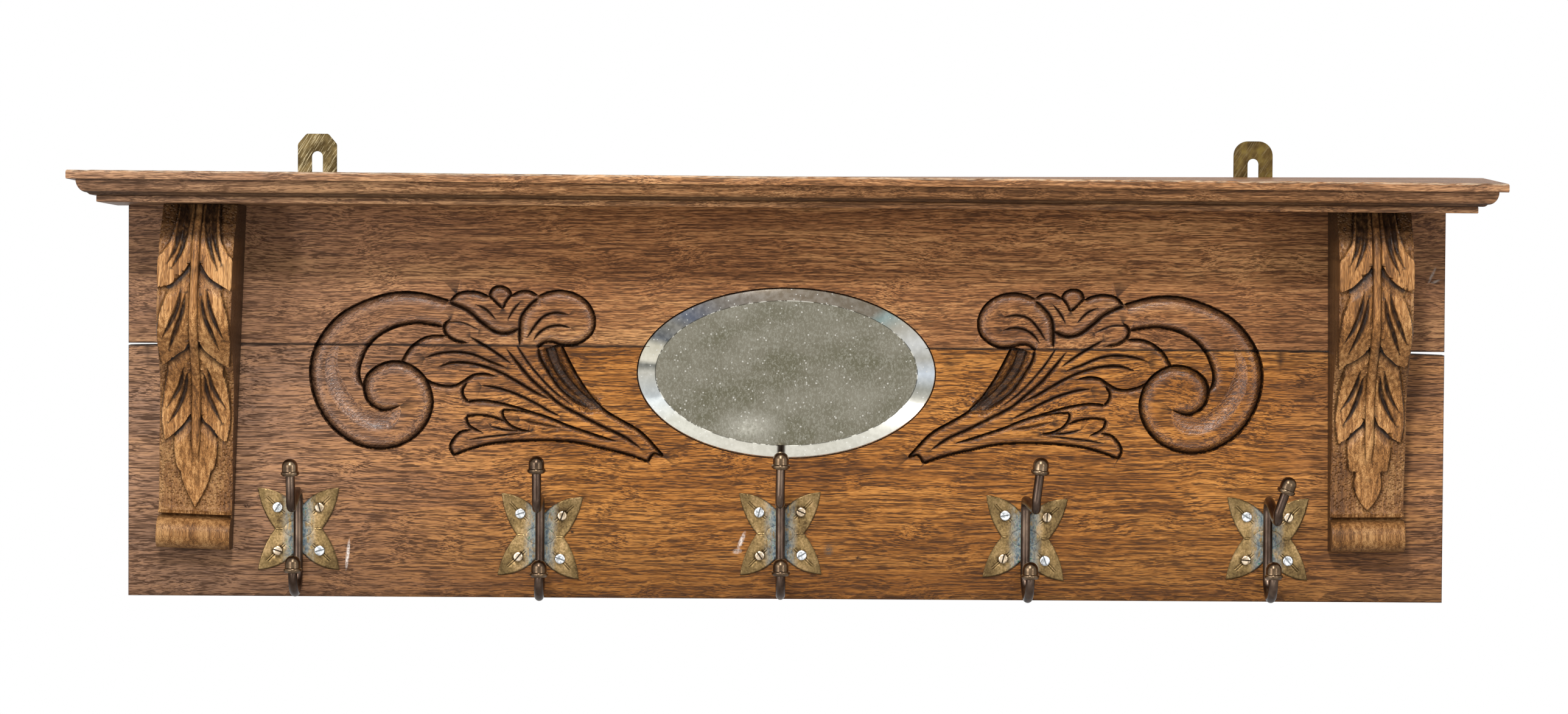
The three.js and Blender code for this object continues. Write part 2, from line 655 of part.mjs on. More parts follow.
// ---------------------------------------------------------------- the shelf

// The moulded edge, as rings of (set back from the shelf's edge, height above its underside).
function shelfRings() {
  const full = TOP_FILLET_STEP + ROUND_DEPTH + QUIRK_DEPTH;
  const roundFoot = LOW_FILLET_HEIGHT + QUIRK_HEIGHT;
  const rings = [
    [full, 0],
    [full, LOW_FILLET_HEIGHT],
  ];
  const steps = 3;
  for (let i = 0; i <= steps; i++) {
    const angle = (Math.PI / 2) * (1 - i / steps);
    const out = ROUND_DEPTH * Math.cos(angle);
    rings.push([TOP_FILLET_STEP + ROUND_DEPTH - out, roundFoot + ROUND_HEIGHT * (1 - Math.sin(angle))]);
  }
  rings.push([0, roundFoot + ROUND_HEIGHT]);
  rings.push([0, SHELF_THICKNESS - SHELF_EDGE_WEAR]);
  rings.push([SHELF_EDGE_WEAR, SHELF_THICKNESS]);
  return rings;
}

function shelf() {
  const columns = 8;
  const positions = [];
  const index = [];
  const rings = shelfRings();
  const around = 2 * (columns + 1);
  for (const [inset, height] of rings) {
    const half = SHELF_LENGTH / 2 - inset;
    const front = SHELF_DEPTH - inset;
    for (let i = 0; i < around; i++) {
      const onFront = i <= columns;
      const step = onFront ? i : around - 1 - i;
      const x = -half + (2 * half * step) / columns;
      const fromWall = onFront ? front : 0;
      positions.push(x, -fromWall, SHELF_UNDERSIDE + height + twistAt(x, fromWall));
    }
  }
  for (let ring = 0; ring + 1 < rings.length; ring++) {
    for (let i = 0; i < around; i++) {
      const a = ring * around + i;
      const b = ring * around + ((i + 1) % around);
      index.push(a, b, b + around, a, b + around, a + around);
    }
  }
  const last = (rings.length - 1) * around;
  for (let i = 0; i < columns; i++) {
    const back = around - 1 - i;
    index.push(i, back, i + 1, back, back - 1, i + 1);
    index.push(last + i, last + i + 1, last + back, last + back, last + i + 1, last + back - 1);
  }
  const geometry = new THREE.BufferGeometry();
  geometry.setAttribute("position", new THREE.Float32BufferAttribute(positions, 3));
  geometry.setIndex(index);
  let solid = solidOf(geometry);
  for (const hanger of Object.values(HANGERS)) solid = solid.subtract(hangerRecess(hanger));
  for (let number = 0; number < 3; number++) solid = solid.subtract(screwHole(shelfScrew(number)));
  return solid;
}

// ---------------------------------------------------------------- the brackets

// The leaf is drawn for a block 60.6 wide, 282.5 high and 90.5 deep, and stretched to this one.
const LEAF_STRETCH = {
  aside: BRACKET_WIDTH / 60.6,
  up: (BACK_HEIGHT - BRACKET_FOOT_RIGHT) / 282.5,
  out: BRACKET_DEPTH / 90.5,
};
const onBlock = ([x, z]) => [x * LEAF_STRETCH.aside, z * LEAF_STRETCH.up];

// The leaf's surface: distance from the board's face at heights above the roll's underside.
const LEAF_CURVE = new THREE.SplineCurve(
  [
    [290, 68], [276.5, 75], [257, 88], [219.5, 90.5], [185.5, 86.5], [153.5, 60], [136.5, 47],
    [110.5, 39.5], [90.5, 36.5], [63, 28], [31, 22], [27, 21.5],
  ].map(([z, out]) => new THREE.Vector2(z * LEAF_STRETCH.up, out * LEAF_STRETCH.out)),
);
const LEAF_SAMPLES = LEAF_CURVE.getSpacedPoints(32);

// The leaf's outline, one half: distance from the centre line and height above the roll's underside.
const LEAF_OUTLINE = [
  [15, 300], [17, 274], [21.5, 254], [31.5, 241], [31.5, 215.5], [22.5, 220], [21.5, 211.5],
  [26, 200.5], [29, 188], [29.5, 169], [27.5, 151.5], [20.5, 156.5], [21.5, 150.5], [25, 135],
  [27.8, 115], [27.5, 105], [25.5, 89.5], [17.5, 94], [17.5, 84], [15.2, 67.5], [10, 67],
  [10.8, 56.5], [8.5, 46], [0, 34.5],
].map(onBlock);
const TIER_EDGES = [
  [[3.5, 237.5], [12, 227.5], [21, 220], [31.5, 215]],
  [[3.5, 172], [12.8, 162.5], [20, 157], [28.5, 151]],
  [[3.5, 111.5], [11.5, 101.5], [18, 94.5], [26.5, 89]],
].map((line) => line.map(onBlock));
const GOUGES = [
  [[11, 282], [12, 262], [15.5, 243], [21, 231]],
  [[6.4, 211], [10.4, 194], [16, 179], [21.5, 164]],
  [[7.2, 146], [10.5, 131], [16.5, 117], [22, 106]],
].map((line) => line.map(onBlock));
const LEAF_ROOT = 300 * LEAF_STRETCH.up; // the block is built up to here, and cut off under the shelf
const STEM_FOOT = 72 * LEAF_STRETCH.up;

function leafDepth(z) {
  const found = LEAF_SAMPLES.findIndex((point) => point.x <= z);
  if (found <= 0) return found === 0 ? LEAF_SAMPLES[0].y : LEAF_SAMPLES[LEAF_SAMPLES.length - 1].y;
  const high = LEAF_SAMPLES[found - 1];
  const low = LEAF_SAMPLES[found];
  return THREE.MathUtils.mapLinear(z, low.x, high.x, low.y, high.y);
}

function bracket(here) {
  // Built upright over the wall plane, its foot at z = 0, then put in its place.
  const rollTop = 2 * ROLL_RADIUS;
  const leafFoot = rollTop + ROLL_GROOVE_HEIGHT;
  const samples = LEAF_SAMPLES.filter((_, i) => i % 2 === 0);
  const heights = samples.map((point) => point.x).filter((z) => z > leafFoot + 2);
  const front = (lower) => [
    [leafDepth(LEAF_ROOT) - lower, LEAF_ROOT],
    ...heights.map((z) => [leafDepth(z) - lower, z]),
    [leafDepth(leafFoot) - lower, leafFoot],
  ];
  const roll = [];
  for (let i = 0; i <= 8; i++) {
    const angle = Math.PI * (0.5 - i / 8);
    const x = ROLL_CENTRE_DEPTH + ROLL_RADIUS * Math.cos(angle);
    roll.push([x, ROLL_RADIUS + ROLL_RADIUS * Math.sin(angle)]);
  }
  const back = SEAT_GAP;
  const groove = [[ROLL_GROOVE_DEPTH, leafFoot], [ROLL_GROOVE_DEPTH, rollTop]];
  const ground = solidOf(
    sidePrism([[back, LEAF_ROOT], ...front(GROUND_DEPTH), ...groove, ...roll, [back, 0]], BRACKET_WIDTH),
  );
  const leafBlock = solidOf(
    sidePrism([[back + 1, LEAF_ROOT], ...front(0), [back + 1, leafFoot]], BRACKET_WIDTH),
  );
  const otherHalf = LEAF_OUTLINE.slice(0, -1).map(([x, z]) => [-x, z]).reverse();
  const leafPrism = solidOf(frontPrism(shapeOf([...LEAF_OUTLINE, ...otherHalf]), 0, -BRACKET_DEPTH - 1));
  let solid = ground.add(leafBlock.intersect(leafPrism));

  const onLeaf = (x, z) => leafDepth(z);
  for (const flip of [-1, 1]) {
    const half = (line) => line.map(([x, z]) => [flip * x, z]);
    const [left, right] = flip < 0 ? [HOLLOW_WIDTH, 0.5] : [0.5, HOLLOW_WIDTH];
    const hollow = { left, right, deep: HOLLOW_DEPTH, depthAt: onLeaf, atLeast: 3 };
    for (const line of TIER_EDGES) solid = solid.subtract(grooveCutter(half(line), hollow));
    const across = GOUGE_WIDTH / 2;
    const gouge = { left: across, right: across, deep: GOUGE_DEPTH, depthAt: onLeaf, taper: 0.1 };
    for (const line of GOUGES) solid = solid.subtract(grooveCutter(half(line), gouge));
  }

  const stem = samples
    .filter((point) => point.x > STEM_FOOT)
    .map((point) => new THREE.Vector3(0, STEM_RADIUS - STEM_RISE - point.y, point.x));
  solid = solid.add(solidOf(rod(stem, STEM_RADIUS, 6)));

  const low = BACK_BOTTOM + here.foot;
  const placed = geometryOf(solid)
    .translate(0, FACE, 0)
    .rotateY(-here.side * THREE.MathUtils.degToRad(here.lean))
    .translate(bracketCentre(here, low), 0, low);
  solid = solidOf(placed).subtract(shelfSpace(here.side));
  for (let number = 0; number < BRACKET_SCREW_HEIGHTS.length; number++) {
    solid = solid.subtract(screwHole(bracketScrew(here, number)));
  }
  return solid;
}

// All that lies above the shelf's underside over one bracket.
function shelfSpace(side) {
  const middle = (side * BRACKET_SPACING) / 2;
  const half = BRACKET_WIDTH;
  const box = new THREE.BoxGeometry(2 * half, SHELF_DEPTH + 2, 100).translate(middle, -SHELF_DEPTH / 2, 0);
  const position = box.attributes.position;
  for (let i = 0; i < position.count; i++) {
    const x = position.getX(i);
    const low = SHELF_UNDERSIDE + twistAt(x, -position.getY(i)) - SEAT_GAP;
    position.setZ(i, position.getZ(i) < 0 ? low : low + 100);
  }
  return solidOf(box);
}

// ---------------------------------------------------------------- the mirror

function mirror() {
  const count = 56;
  const backY = FACE + MIRROR_SET_BACK + MIRROR_THICKNESS;
  const rings = [
    { inset: [0, 0], y: backY },
    { inset: [0, 0], y: backY - MIRROR_EDGE_THICKNESS },
    { inset: [BEVEL_WIDTH_SIDES, BEVEL_WIDTH_TOP], y: backY - MIRROR_THICKNESS },
  ];
  const positions = [];
  const index = [];
  for (const { inset, y } of rings) {
    for (let i = 0; i < count; i++) {
      const angle = (2 * Math.PI * i) / count;
      const x = (MIRROR_WIDTH / 2 - inset[0]) * Math.cos(angle);
      const z = MIRROR_ABOVE_MIDDLE + (MIRROR_HEIGHT / 2 - inset[1]) * Math.sin(angle);
      positions.push(x, y, z);
    }
  }
  positions.push(0, backY, MIRROR_ABOVE_MIDDLE, 0, backY - MIRROR_THICKNESS, MIRROR_ABOVE_MIDDLE);
  const backMiddle = rings.length * count;
  const frontMiddle = backMiddle + 1;
  for (let i = 0; i < count; i++) {
    const next = (i + 1) % count;
    for (let ring = 0; ring < 2; ring++) {
      const a = ring * count;
      index.push(a + i, a + next, a + count + next, a + i, a + count + next, a + count + i);
    }
    index.push(backMiddle, next, i);
    index.push(frontMiddle, 2 * count + i, 2 * count + next);
  }
  const geometry = new THREE.BufferGeometry();
  geometry.setAttribute("position", new THREE.Float32BufferAttribute(positions, 3));
  geometry.setIndex(index);
  geometry.computeVertexNormals();
  return geometry;
}

// ---------------------------------------------------------------- the hooks

// A line that is sampled at its own points.
class BentLine extends THREE.Curve {
  constructor(points) {
    super();
    this.points = points;
  }

  getPoint(t, target = new THREE.Vector3()) {
    const place = THREE.MathUtils.clamp(t, 0, 1) * (this.points.length - 1);
    const before = Math.min(Math.floor(place), this.points.length - 2);
    return target.lerpVectors(this.points[before], this.points[before + 1], place - before);
  }

  getPointAt(t, target) {
    return this.getPoint(t, target);
  }

  getTangentAt(t, target) {
    return this.getTangent(t, target);
  }
}

function rod(points, radius, sides = ROD_SIDES) {
  const section = new THREE.Shape();
  for (let i = 0; i < sides; i++) {
    const angle = (2 * Math.PI * i) / sides;
    const [x, y] = [radius * Math.cos(angle), radius * Math.sin(angle)];
    if (i === 0) section.moveTo(x, y);
    else section.lineTo(x, y);
  }
  const steps = points.length - 1;
  const extrudePath = new BentLine(points);
  return new THREE.ExtrudeGeometry(section, { steps, bevelEnabled: false, extrudePath });
}

// The rod's centre line, from the end in the lower cap to the end in the upper cap.
function rodLine(number) {
  const { height, droop, shorter, footAside, capAside, sag, lowerAside } = HOOKS[number];
  const x = hookX(number);
  const middle = BACK_BOTTOM + height;
  const spine = SEAT_GAP + PLATE_THICKNESS + SEAT_GAP + ROD_RADIUS;
  const at = (aside, out, up) => new THREE.Vector3(x + aside, FACE - out, middle + up);
  const points = [];

  const bendRadius = (LOWER_REACH - spine) / 2;
  const bendMiddle = spine + bendRadius;
  const bendHeight = -LOWER_BEND_DROP - sag;
  points.push(at(lowerAside, LOWER_REACH, bendHeight + LOWER_ARM));
  for (let i = 0; i <= 10; i++) {
    const angle = (Math.PI * i) / 10;
    const out = bendMiddle + bendRadius * Math.cos(angle);
    points.push(at(lowerAside * (1 - i / 10), out, bendHeight - LOWER_BEND_DEPTH * Math.sin(angle)));
  }

  for (let i = 0; i <= 4; i++) {
    const angle = Math.PI - (Math.PI / 2) * (i / 4);
    const out = spine + ARCH_RADIUS + ARCH_RADIUS * Math.cos(angle);
    points.push(at(0, out, ARCH_TOP - ARCH_RADIUS + ARCH_RADIUS * Math.sin(angle)));
  }

  const low = ARCH_TOP - UPPER_FALL - droop;
  const turnStart = UPPER_REACH - UPPER_TURN_RADIUS;
  for (let i = 0; i <= 4; i++) {
    const angle = (Math.PI / 2) * (i / 4);
    const out = turnStart + UPPER_TURN_RADIUS * Math.sin(angle);
    points.push(at(footAside, out, low + UPPER_TURN_RADIUS * (1 - Math.cos(angle))));
  }
  points.push(at(capAside, UPPER_REACH, low + UPPER_ARM - shorter));
  return points;
}

// A cap on the rod's end, pointing along `axis`.
function cap(end, axis) {
  const shoulder = CAP_COLLAR_HEIGHT + CAP_RIM_HEIGHT;
  const domeStart = CAP_HEIGHT - CAP_DOME_RADIUS;
  const profile = [
    [0, 0],
    [CAP_COLLAR_RADIUS, 0],
    [CAP_COLLAR_RADIUS, CAP_COLLAR_HEIGHT],
    [CAP_RIM_RADIUS, CAP_COLLAR_HEIGHT],
    [CAP_RIM_RADIUS, shoulder - 0.8],
    [CAP_DOME_RADIUS, shoulder],
  ];
  for (let i = 0; i <= 3; i++) {
    const angle = (Math.PI / 2) * (i / 3);
    const radius = i === 3 ? 0 : CAP_DOME_RADIUS * Math.cos(angle);
    profile.push([radius, domeStart + CAP_DOME_RADIUS * Math.sin(angle)]);
  }
  const foot = end.clone().addScaledVector(axis, SEAT_GAP);
  return turned(profile, CAP_SIDES, axis, foot);
}

function plateOutline() {
  const notch = [PLATE_NOTCH_X, PLATE_NOTCH_Z];
  const tip = [PLATE_TIP_X, PLATE_TIP_Z];
  const waist = [PLATE_WAIST_X, 0];
  const upperEdge = quadratic(notch, [PLATE_TIP_X * 0.42, PLATE_TIP_Z * 0.97], tip).getPoints(4);
  const sideEdge = quadratic(tip, [PLATE_TIP_X * 0.93, PLATE_TIP_Z * 0.45], waist).getPoints(4);
  const quarter = [...upperEdge, ...sideEdge.slice(1)].map((point) => [point.x, point.y]);
  const upperRight = quarter;
  const lowerRight = quarter.map(([x, z]) => [x, -z]).reverse().slice(1);
  const right = [...upperRight, ...lowerRight];
  const left = right.map(([x, z]) => [-x, z]).reverse();
  return [...right, ...left].reverse();
}

function hookPlate(number) {
  const placed = plateOutline().map(([x, z]) => {
    const point = onPlate(number, x, z);
    return [point.x, point.z];
  });
  const back = FACE - SEAT_GAP;
  let plate = solidOf(frontPrism(shapeOf(placed), back, back - PLATE_THICKNESS));
  for (const corner of Object.values(HOOK_CORNERS)) {
    plate = plate.subtract(screwHole(hookScrew(number, corner)));
  }
  return plate;
}

// ---------------------------------------------------------------- assembly

const cuts = backCuts();
addPart("board_upper", upperBoard(cuts), OAK);
addPart("board_lower", lowerBoard(cuts), OAK);
addPart("shelf", shelf(), OAK_DARK);
addPart("mirror_glass", mirror(), SILVERED_GLASS);

for (const [name, bracketHere] of Object.entries(BRACKETS)) {
  addPart(`bracket_${name}`, bracket(bracketHere), OAK_DARK);
  for (let number = 0; number < BRACKET_SCREW_HEIGHTS.length; number++) {
    addPart(`bracket_${name}_screw_${number + 1}`, screw(bracketScrew(bracketHere, number)), STEEL);
  }
}

for (const [name, hanger] of Object.entries(HANGERS)) {
  addPart(`hanger_${name}_plate`, hangerPlate(hanger), HANGER_BRASS);
  for (let number = 0; number < 2; number++) {
    addPart(`hanger_${name}_screw_${number + 1}`, screw(hangerScrew(hanger, number)), SCREW_BRASS);
  }
}

for (let number = 0; number < 3; number++) {
  addPart(`shelf_screw_${number + 1}`, screw(shelfScrew(number)), STEEL);
}

for (let number = 0; number < HOOKS.length; number++) {
  const name = `hook_${number + 1}`;
  const line = rodLine(number);
  addPart(`${name}_plate`, hookPlate(number), PLATE_BRASS);
  addPart(`${name}_rod`, rod(line, ROD_RADIUS), ROD_BRONZE);
  const [armFoot, armEnd] = line.slice(-2);
  addPart(`${name}_cap_lower`, cap(line[0], UP), ROD_BRONZE);
  addPart(`${name}_cap_upper`, cap(armEnd, armEnd.clone().sub(armFoot).normalize()), ROD_BRONZE);
  for (const [place, corner] of Object.entries(HOOK_CORNERS)) {
    addPart(`${name}_screw_${place}`, screw(hookScrew(number, corner)), corner.material);
  }
}

export default rack;
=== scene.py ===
"""The looks of a carved oak hat-and-coat rack with an oval bevelled mirror and five double brass hooks.

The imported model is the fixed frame. Everything here is made in millimetres in that frame and turned to
metres at the end: X along the width, -Y towards the room, Z up from the middle of the back.
"""

import math
import random
from functools import partial

import bmesh
import bpy
import numpy as np
from mathutils import Euler, Matrix, Vector
from mathutils.geometry import delaunay_2d_cdt


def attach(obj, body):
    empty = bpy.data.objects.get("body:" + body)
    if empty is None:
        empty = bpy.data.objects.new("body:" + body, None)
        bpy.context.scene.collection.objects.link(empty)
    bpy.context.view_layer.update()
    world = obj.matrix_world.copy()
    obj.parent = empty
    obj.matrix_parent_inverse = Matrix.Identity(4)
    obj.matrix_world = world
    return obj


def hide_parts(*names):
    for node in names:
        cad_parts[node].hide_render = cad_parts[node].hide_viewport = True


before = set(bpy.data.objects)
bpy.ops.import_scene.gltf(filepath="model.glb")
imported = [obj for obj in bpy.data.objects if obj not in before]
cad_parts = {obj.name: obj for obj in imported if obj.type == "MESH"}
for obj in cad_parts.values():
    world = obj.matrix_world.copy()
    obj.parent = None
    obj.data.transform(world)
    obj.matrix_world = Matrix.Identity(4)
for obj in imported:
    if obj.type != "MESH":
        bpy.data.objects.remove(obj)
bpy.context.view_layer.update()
MM = 0.001

# ------------------------------------------------------------------ sizes, in millimetres

FACE = -18.0  # y of the boards' front
BACK_HALF = 546.0
BACK_BOTTOM = -162.95
UNDERSIDE = 162.95  # of a flat shelf
SHELF_HALF, SHELF_DEPTH, SHELF_THICK, SHELF_TWIST = 580.0, 145.0, 25.2, 2.3
SHELF_TOP = UNDERSIDE + SHELF_THICK
JOINT_Z, JOINT_FALL = 45.85, 0.75
GAP_MIDDLE, GAP_LEFT, GAP_RIGHT = 0.5, 1.8, 2.8
SEAT = 0.3  # between a piece and what it is fixed to

MIRROR_Z = 24.9
MIRROR_W, MIRROR_H, MIRROR_THICK, MIRROR_RIM = 247.4, 141.4, 5.0, 2.6
MIRROR_SET_BACK, MIRROR_PLAY = 0.5, 0.6
BEVEL_SIDE, BEVEL_TOP = 15.1, 10.7

BRACKET_HALF = 30.3
BRACKET_SPACING = 957.0
BRACKETS = {"left": (-1, 2.2, 40.8), "right": (1, 0.5, 43.4)}  # side, lean in degrees, foot above the edge
ROLL_R, ROLL_OUT, ROLL_GROOVE, ROLL_GROOVE_OUT = 12.9, 20.0, 2.6, 15.0
LEAF_FOOT = 2 * ROLL_R + ROLL_GROOVE
GROUND = 4.0  # how far the ground lies below the leaf

HANGERS = {"left": (-391.1, 33.3, False), "right": (387.3, 31.4, True)}  # x, rise above the shelf, rounded
HANGER_W, HANGER_T, HANGER_H = 32.6, 2.0, 106.0

ROD_R = 3.85
HOOKS = [  # aside, height, turn, droop, shorter, foot aside, cap aside, sag, lower cap aside
    (-4.4, 56.3, 0.2, 7.0, 2.9, -0.8, -1.3, 2.4, -0.5),
    (-3.7, 51.4, -2.7, 1.6, 0.0, -0.2, -0.4, 0.0, 1.2),
    (-4.2, 54.5, 0.9, 0.0, 0.2, -0.4, 0.0, 1.0, 0.5),
    (-0.9, 52.0, -2.4, 1.0, 0.0, 6.2, 8.8, 0.0, 2.4),
    (0.3, 52.5, -0.6, 10.0, 5.9, 3.2, 8.5, -0.6, 1.4),
]
HOOK_SPACING = 200.0
UPPER_REACH, LOWER_REACH = 60.0, 44.5  # from the board's face to the arms' middle lines
PLATE_THICK = 1.2
SCREW_X, SCREW_Z = 17.4, 18.0
HEAD_R, HEAD_H = 4.3, 2.1


# ------------------------------------------------------------------ nodes

NODES = {  # often used: the kind, what is always set, the sockets fed in order, and the output taken
    "plus": ("ShaderNodeMath", {"operation": "ADD"}, (0, 1), 0),
    "minus": ("ShaderNodeMath", {"operation": "SUBTRACT"}, (0, 1), 0),
    "times": ("ShaderNodeMath", {"operation": "MULTIPLY"}, (0, 1), 0),
    "over": ("ShaderNodeMath", {"operation": "DIVIDE"}, (0, 1), 0),
    "larger": ("ShaderNodeMath", {"operation": "MAXIMUM"}, (0, 1), 0),
    "maths": ("ShaderNodeMath", {}, (0, 1), 0),
    "vector": ("ShaderNodeVectorMath", {}, (0, 1), 0),
    "split": ("ShaderNodeSeparateXYZ", {}, ("Vector",), None),
    "laid": ("ShaderNodeMapping", {}, ("Vector", "Scale", "Location", "Rotation"), 0),
    "range": ("ShaderNodeMapRange", {}, ("Value", "From Min", "From Max", "To Min", "To Max"), 0),
    "ramp": ("ShaderNodeValToRGB", {}, ("Fac",), "Color"),
    "mix": ("ShaderNodeMix", {"data_type": "RGBA"}, (0, 6, 7), 2),
    "noise": ("ShaderNodeTexNoise", {"Scale": 1.0}, ("Vector", "Detail", "Roughness"), "Fac"),
    "cells": ("ShaderNodeTexVoronoi", {"Scale": 1.0}, ("Vector",), "Distance"),
    "fade": ("ShaderNodeTexGradient", {"gradient_type": "SPHERICAL"}, ("Vector",), "Fac"),
    "mark": ("ShaderNodeAttribute", {}, (), "Fac"),
    "bump": ("ShaderNodeBump", {}, ("Height", "Strength", "Distance"), 0),
    "shader": ("ShaderNodeBsdfPrincipled", {}, ("Base Color", "Roughness", "Metallic"), 0),
    "surface": ("ShaderNodeOutputMaterial", {}, ("Surface",), None),
}


def srgb(code):
    """A colour written as sRGB hex, as the linear colour a shader takes."""
    parts = [int(code[i : i + 2], 16) / 255 for i in (1, 3, 5)]
    return tuple(p / 12.92 if p <= 0.04045 else ((p + 0.055) / 1.055) ** 2.4 for p in parts) + (1.0,)


def add(tree, name, *given, stops=(), **named):
    """Adds a node, called as in NODES or by its full kind. Each value given feeds a socket, in the listed
    order, with a number, a hex colour or another node's output. A named value feeds the socket of that
    name if it starts with a capital, and is a setting if not. A ramp has `stops`: (position, colour)."""
    kind, fixed, sockets, taken = NODES.get(name, (name, {}, (), None))
    node = tree.nodes.new(kind)
    feeds = list(zip(sockets, given))
    for key, value in {**fixed, **named}.items():
        if key[0].isupper():
            feeds.append((key.replace("_", " "), value))
        else:
            setattr(node, key, value)
    for socket, value in feeds:
        if isinstance(value, bpy.types.NodeSocket):
            tree.links.new(value, node.inputs[socket])
        else:
            node.inputs[socket].default_value = srgb(value) if str(value).startswith("#") else value
    if stops:
        band = node.color_ramp
        while len(band.elements) < len(stops):
            band.elements.new(0.5)
        for element, (position, colour) in zip(band.elements, stops):
            element.position = position
            element.color = srgb(colour) if isinstance(colour, str) else (colour, colour, colour, 1.0)
    return node if taken is None else node.outputs[taken]


def per(*sizes):
    """The scale of a pattern whose unit has these sizes in millimetres."""
    return tuple(1.0 / size for size in sizes)


def material(name, turn=(0.0, 0.0, 0.0)):
    """A new material, what adds its nodes, and millimetres turned so that X runs along the grain."""
    made = bpy.data.materials.new(name)
    made.use_nodes = True
    made.node_tree.nodes.clear()
    n = partial(add, made.node_tree)
    return made, n, n("laid", n("ShaderNodeTexCoord").outputs["Object"], (1000.0,) * 3, (0.0,) * 3, turn)


# ------------------------------------------------------------------ materials

def oak(name, dark, mid, light, turn=(0.0, 0.0, 0.0), shift=0.0, pore=0.75, figure=1.0, size=1.0, foot=0.0,
        dust_and_sheen=0.0, sides=0.0, spots=()):
    """Fumed and waxed oak. Flat-sawn: dark dashes of open pores, 8 to 30 mm long and under 1 mm wide, lie
    close together between orange-brown lines, and wax and dirt have blackened every cut. Dust and a painted
    sheen grey the `dust_and_sheen` ends, the `foot` darkens towards the bottom, and painted shade darkens
    the `sides`. Each of the `spots` is an oval mark on the boards' front: x, z, half sizes, slope in degrees
    and colour."""
    made, n, space = material(name, turn)
    # The grain lines wander by a few millimetres over a hand's length.
    wander = n("noise", n("laid", space, per(150, 34, 60), (shift, 0, 0)), 2.0, 0.5)
    lift = n("times", n("minus", wander, 0.5), 24.0 * figure)
    along, across, deep = n("split", space).outputs
    bent = n(
        "ShaderNodeCombineXYZ", X=along, Y=n("plus", across, lift), Z=n("plus", deep, lift)
    ).outputs[0]
    broad = n("noise", n("laid", bent, per(260, 24, 24), (shift, 2, 0)), 2.0, 0.5)
    rings = n("noise", n("laid", bent, per(70, 1.9 * size, 1.9 * size), (shift, 5, 0)), 2.0, 0.55)
    streak = n("noise", n("laid", bent, per(15 * size, 0.56, 0.56), (shift, 9, 0)), 1.0, 0.6)
    fine = n("noise", n("laid", bent, per(8, 0.32, 0.32), (shift, 3, 0)), 1.0, 0.6)
    tone = n("plus", n("plus", n("times", broad, 0.34), n("times", rings, 0.36)), n("times", fine, 0.3))
    colour = n("ramp", tone, stops=((0.39, dark), (0.5, mid), (0.6, light)))
    # Dust and a painted sheen grey both ends, the left one more.
    if dust_and_sheen:
        for near, far, most in ((-180.0, -470.0, dust_and_sheen), (400.0, 570.0, 0.6 * dust_and_sheen)):
            colour = n("mix", n("range", along, near, far, 0.0, most), colour, "#a58b7a")
    # Open pores: dark dashes, gathered where the rings are wide.
    gathered = n("plus", streak, n("range", rings, 0.36, 0.64, 0.09, -0.09))
    dash = n("times", n("ramp", gathered, stops=((0.5, 0.0), (0.57, 1.0))), pore)
    hair = n("times", n("ramp", fine, stops=((0.34, 1.0), (0.45, 0.0))), 0.45)
    colour = n("mix", hair, n("mix", dash, colour, "#3a2210"), "#3a2210")
    # The lower board grows darker towards its bottom edge.
    if foot:
        low = n("range", deep, -60.0, -165.0, 0.0, foot)
        colour = n("mix", n("times", low, n("plus", broad, 0.5)), colour, "#3b2109")
    speckle = n("noise", n("laid", space, per(1.8, 1.8, 1.8)), 3.0, 0.7)
    speckle = n("ramp", speckle, stops=((0.4, 0.35), (0.56, 1.6)))
    for x, z, wide, high, slope, tint in spots:
        off = n("vector", space, (x, FACE, z), operation="SUBTRACT")
        off = n("laid", off, Rotation=(0.0, math.radians(slope), 0.0))
        oval = n("fade", n("vector", off, (1 / wide, 0.15, 1 / high), operation="MULTIPLY"))
        colour = n("mix", n("times", oval, speckle, use_clamp=True), colour, tint)
    # Cut and handled places: `carved` is 0 on the flat and 1 at the foot of a cut. It also carries painted
    # shade: the shelf's shadow on the brackets, the brackets' walls by the board and the shelf's moulding
    # steps.
    carved, worked, ground, bare = (
        n("mark", attribute_name=mark) for mark in ("carved", "worked", "ground", "bare")
    )
    dirt = n("noise", n("laid", space, per(7, 4, 4), (0, 1, shift)), 3.0, 0.6)
    dirt_and_shade = n("times", carved, n("plus", n("times", dirt, 0.7), 0.6), use_clamp=True)
    colour = n("mix", n("times", worked, 0.18), colour, "#5a3018")
    colour = n("mix", n("times", ground, 0.42), colour, "#4c2e18")
    # Painted shade darkens the faces that turn to either side.
    if sides:
        facing = n("split", n("ShaderNodeNewGeometry").outputs["True Normal"]).outputs[0]
        aside = n("ramp", n("maths", facing, operation="ABSOLUTE"), stops=((0.8, 0.0), (0.92, sides)))
        colour = n("mix", aside, colour, "#2c190d")
    # Dirt in the cuts and the painted shade that `carved` carries darken the colour.
    colour = n("mix", dirt_and_shade, colour, "#22150d")
    rubbed = n("noise", n("laid", space, per(9, 2, 2)), 3.0, 0.6)
    rubbed = n("times", bare, n("ramp", rubbed, stops=((0.38, 0.0), (0.6, 1.0))))
    colour = n("mix", rubbed, colour, "#e0c9ab")
    height = n("plus", n("times", fine, 0.4), n("times", dash, -0.6))
    # Knife and gouge marks, 1.5 mm by 7, slant over the carved places.
    slant = n("laid", n("laid", space, Rotation=(0.0, math.radians(38), 0.0)), per(8.0, 4.0, 1.7))
    height = n("plus", height, n("times", n("noise", slant, 2.0, 0.6), n("times", worked, 5.5)))
    # Punched ground beside the leaves: round dimples about 2 mm apart.
    pits = n("ramp", n("cells", n("laid", space, per(2.6, 2.6, 2.6))), stops=((0.15, 0.0), (0.5, 1.0)))
    height = n("plus", height, n("times", pits, n("times", ground, 8.0)))
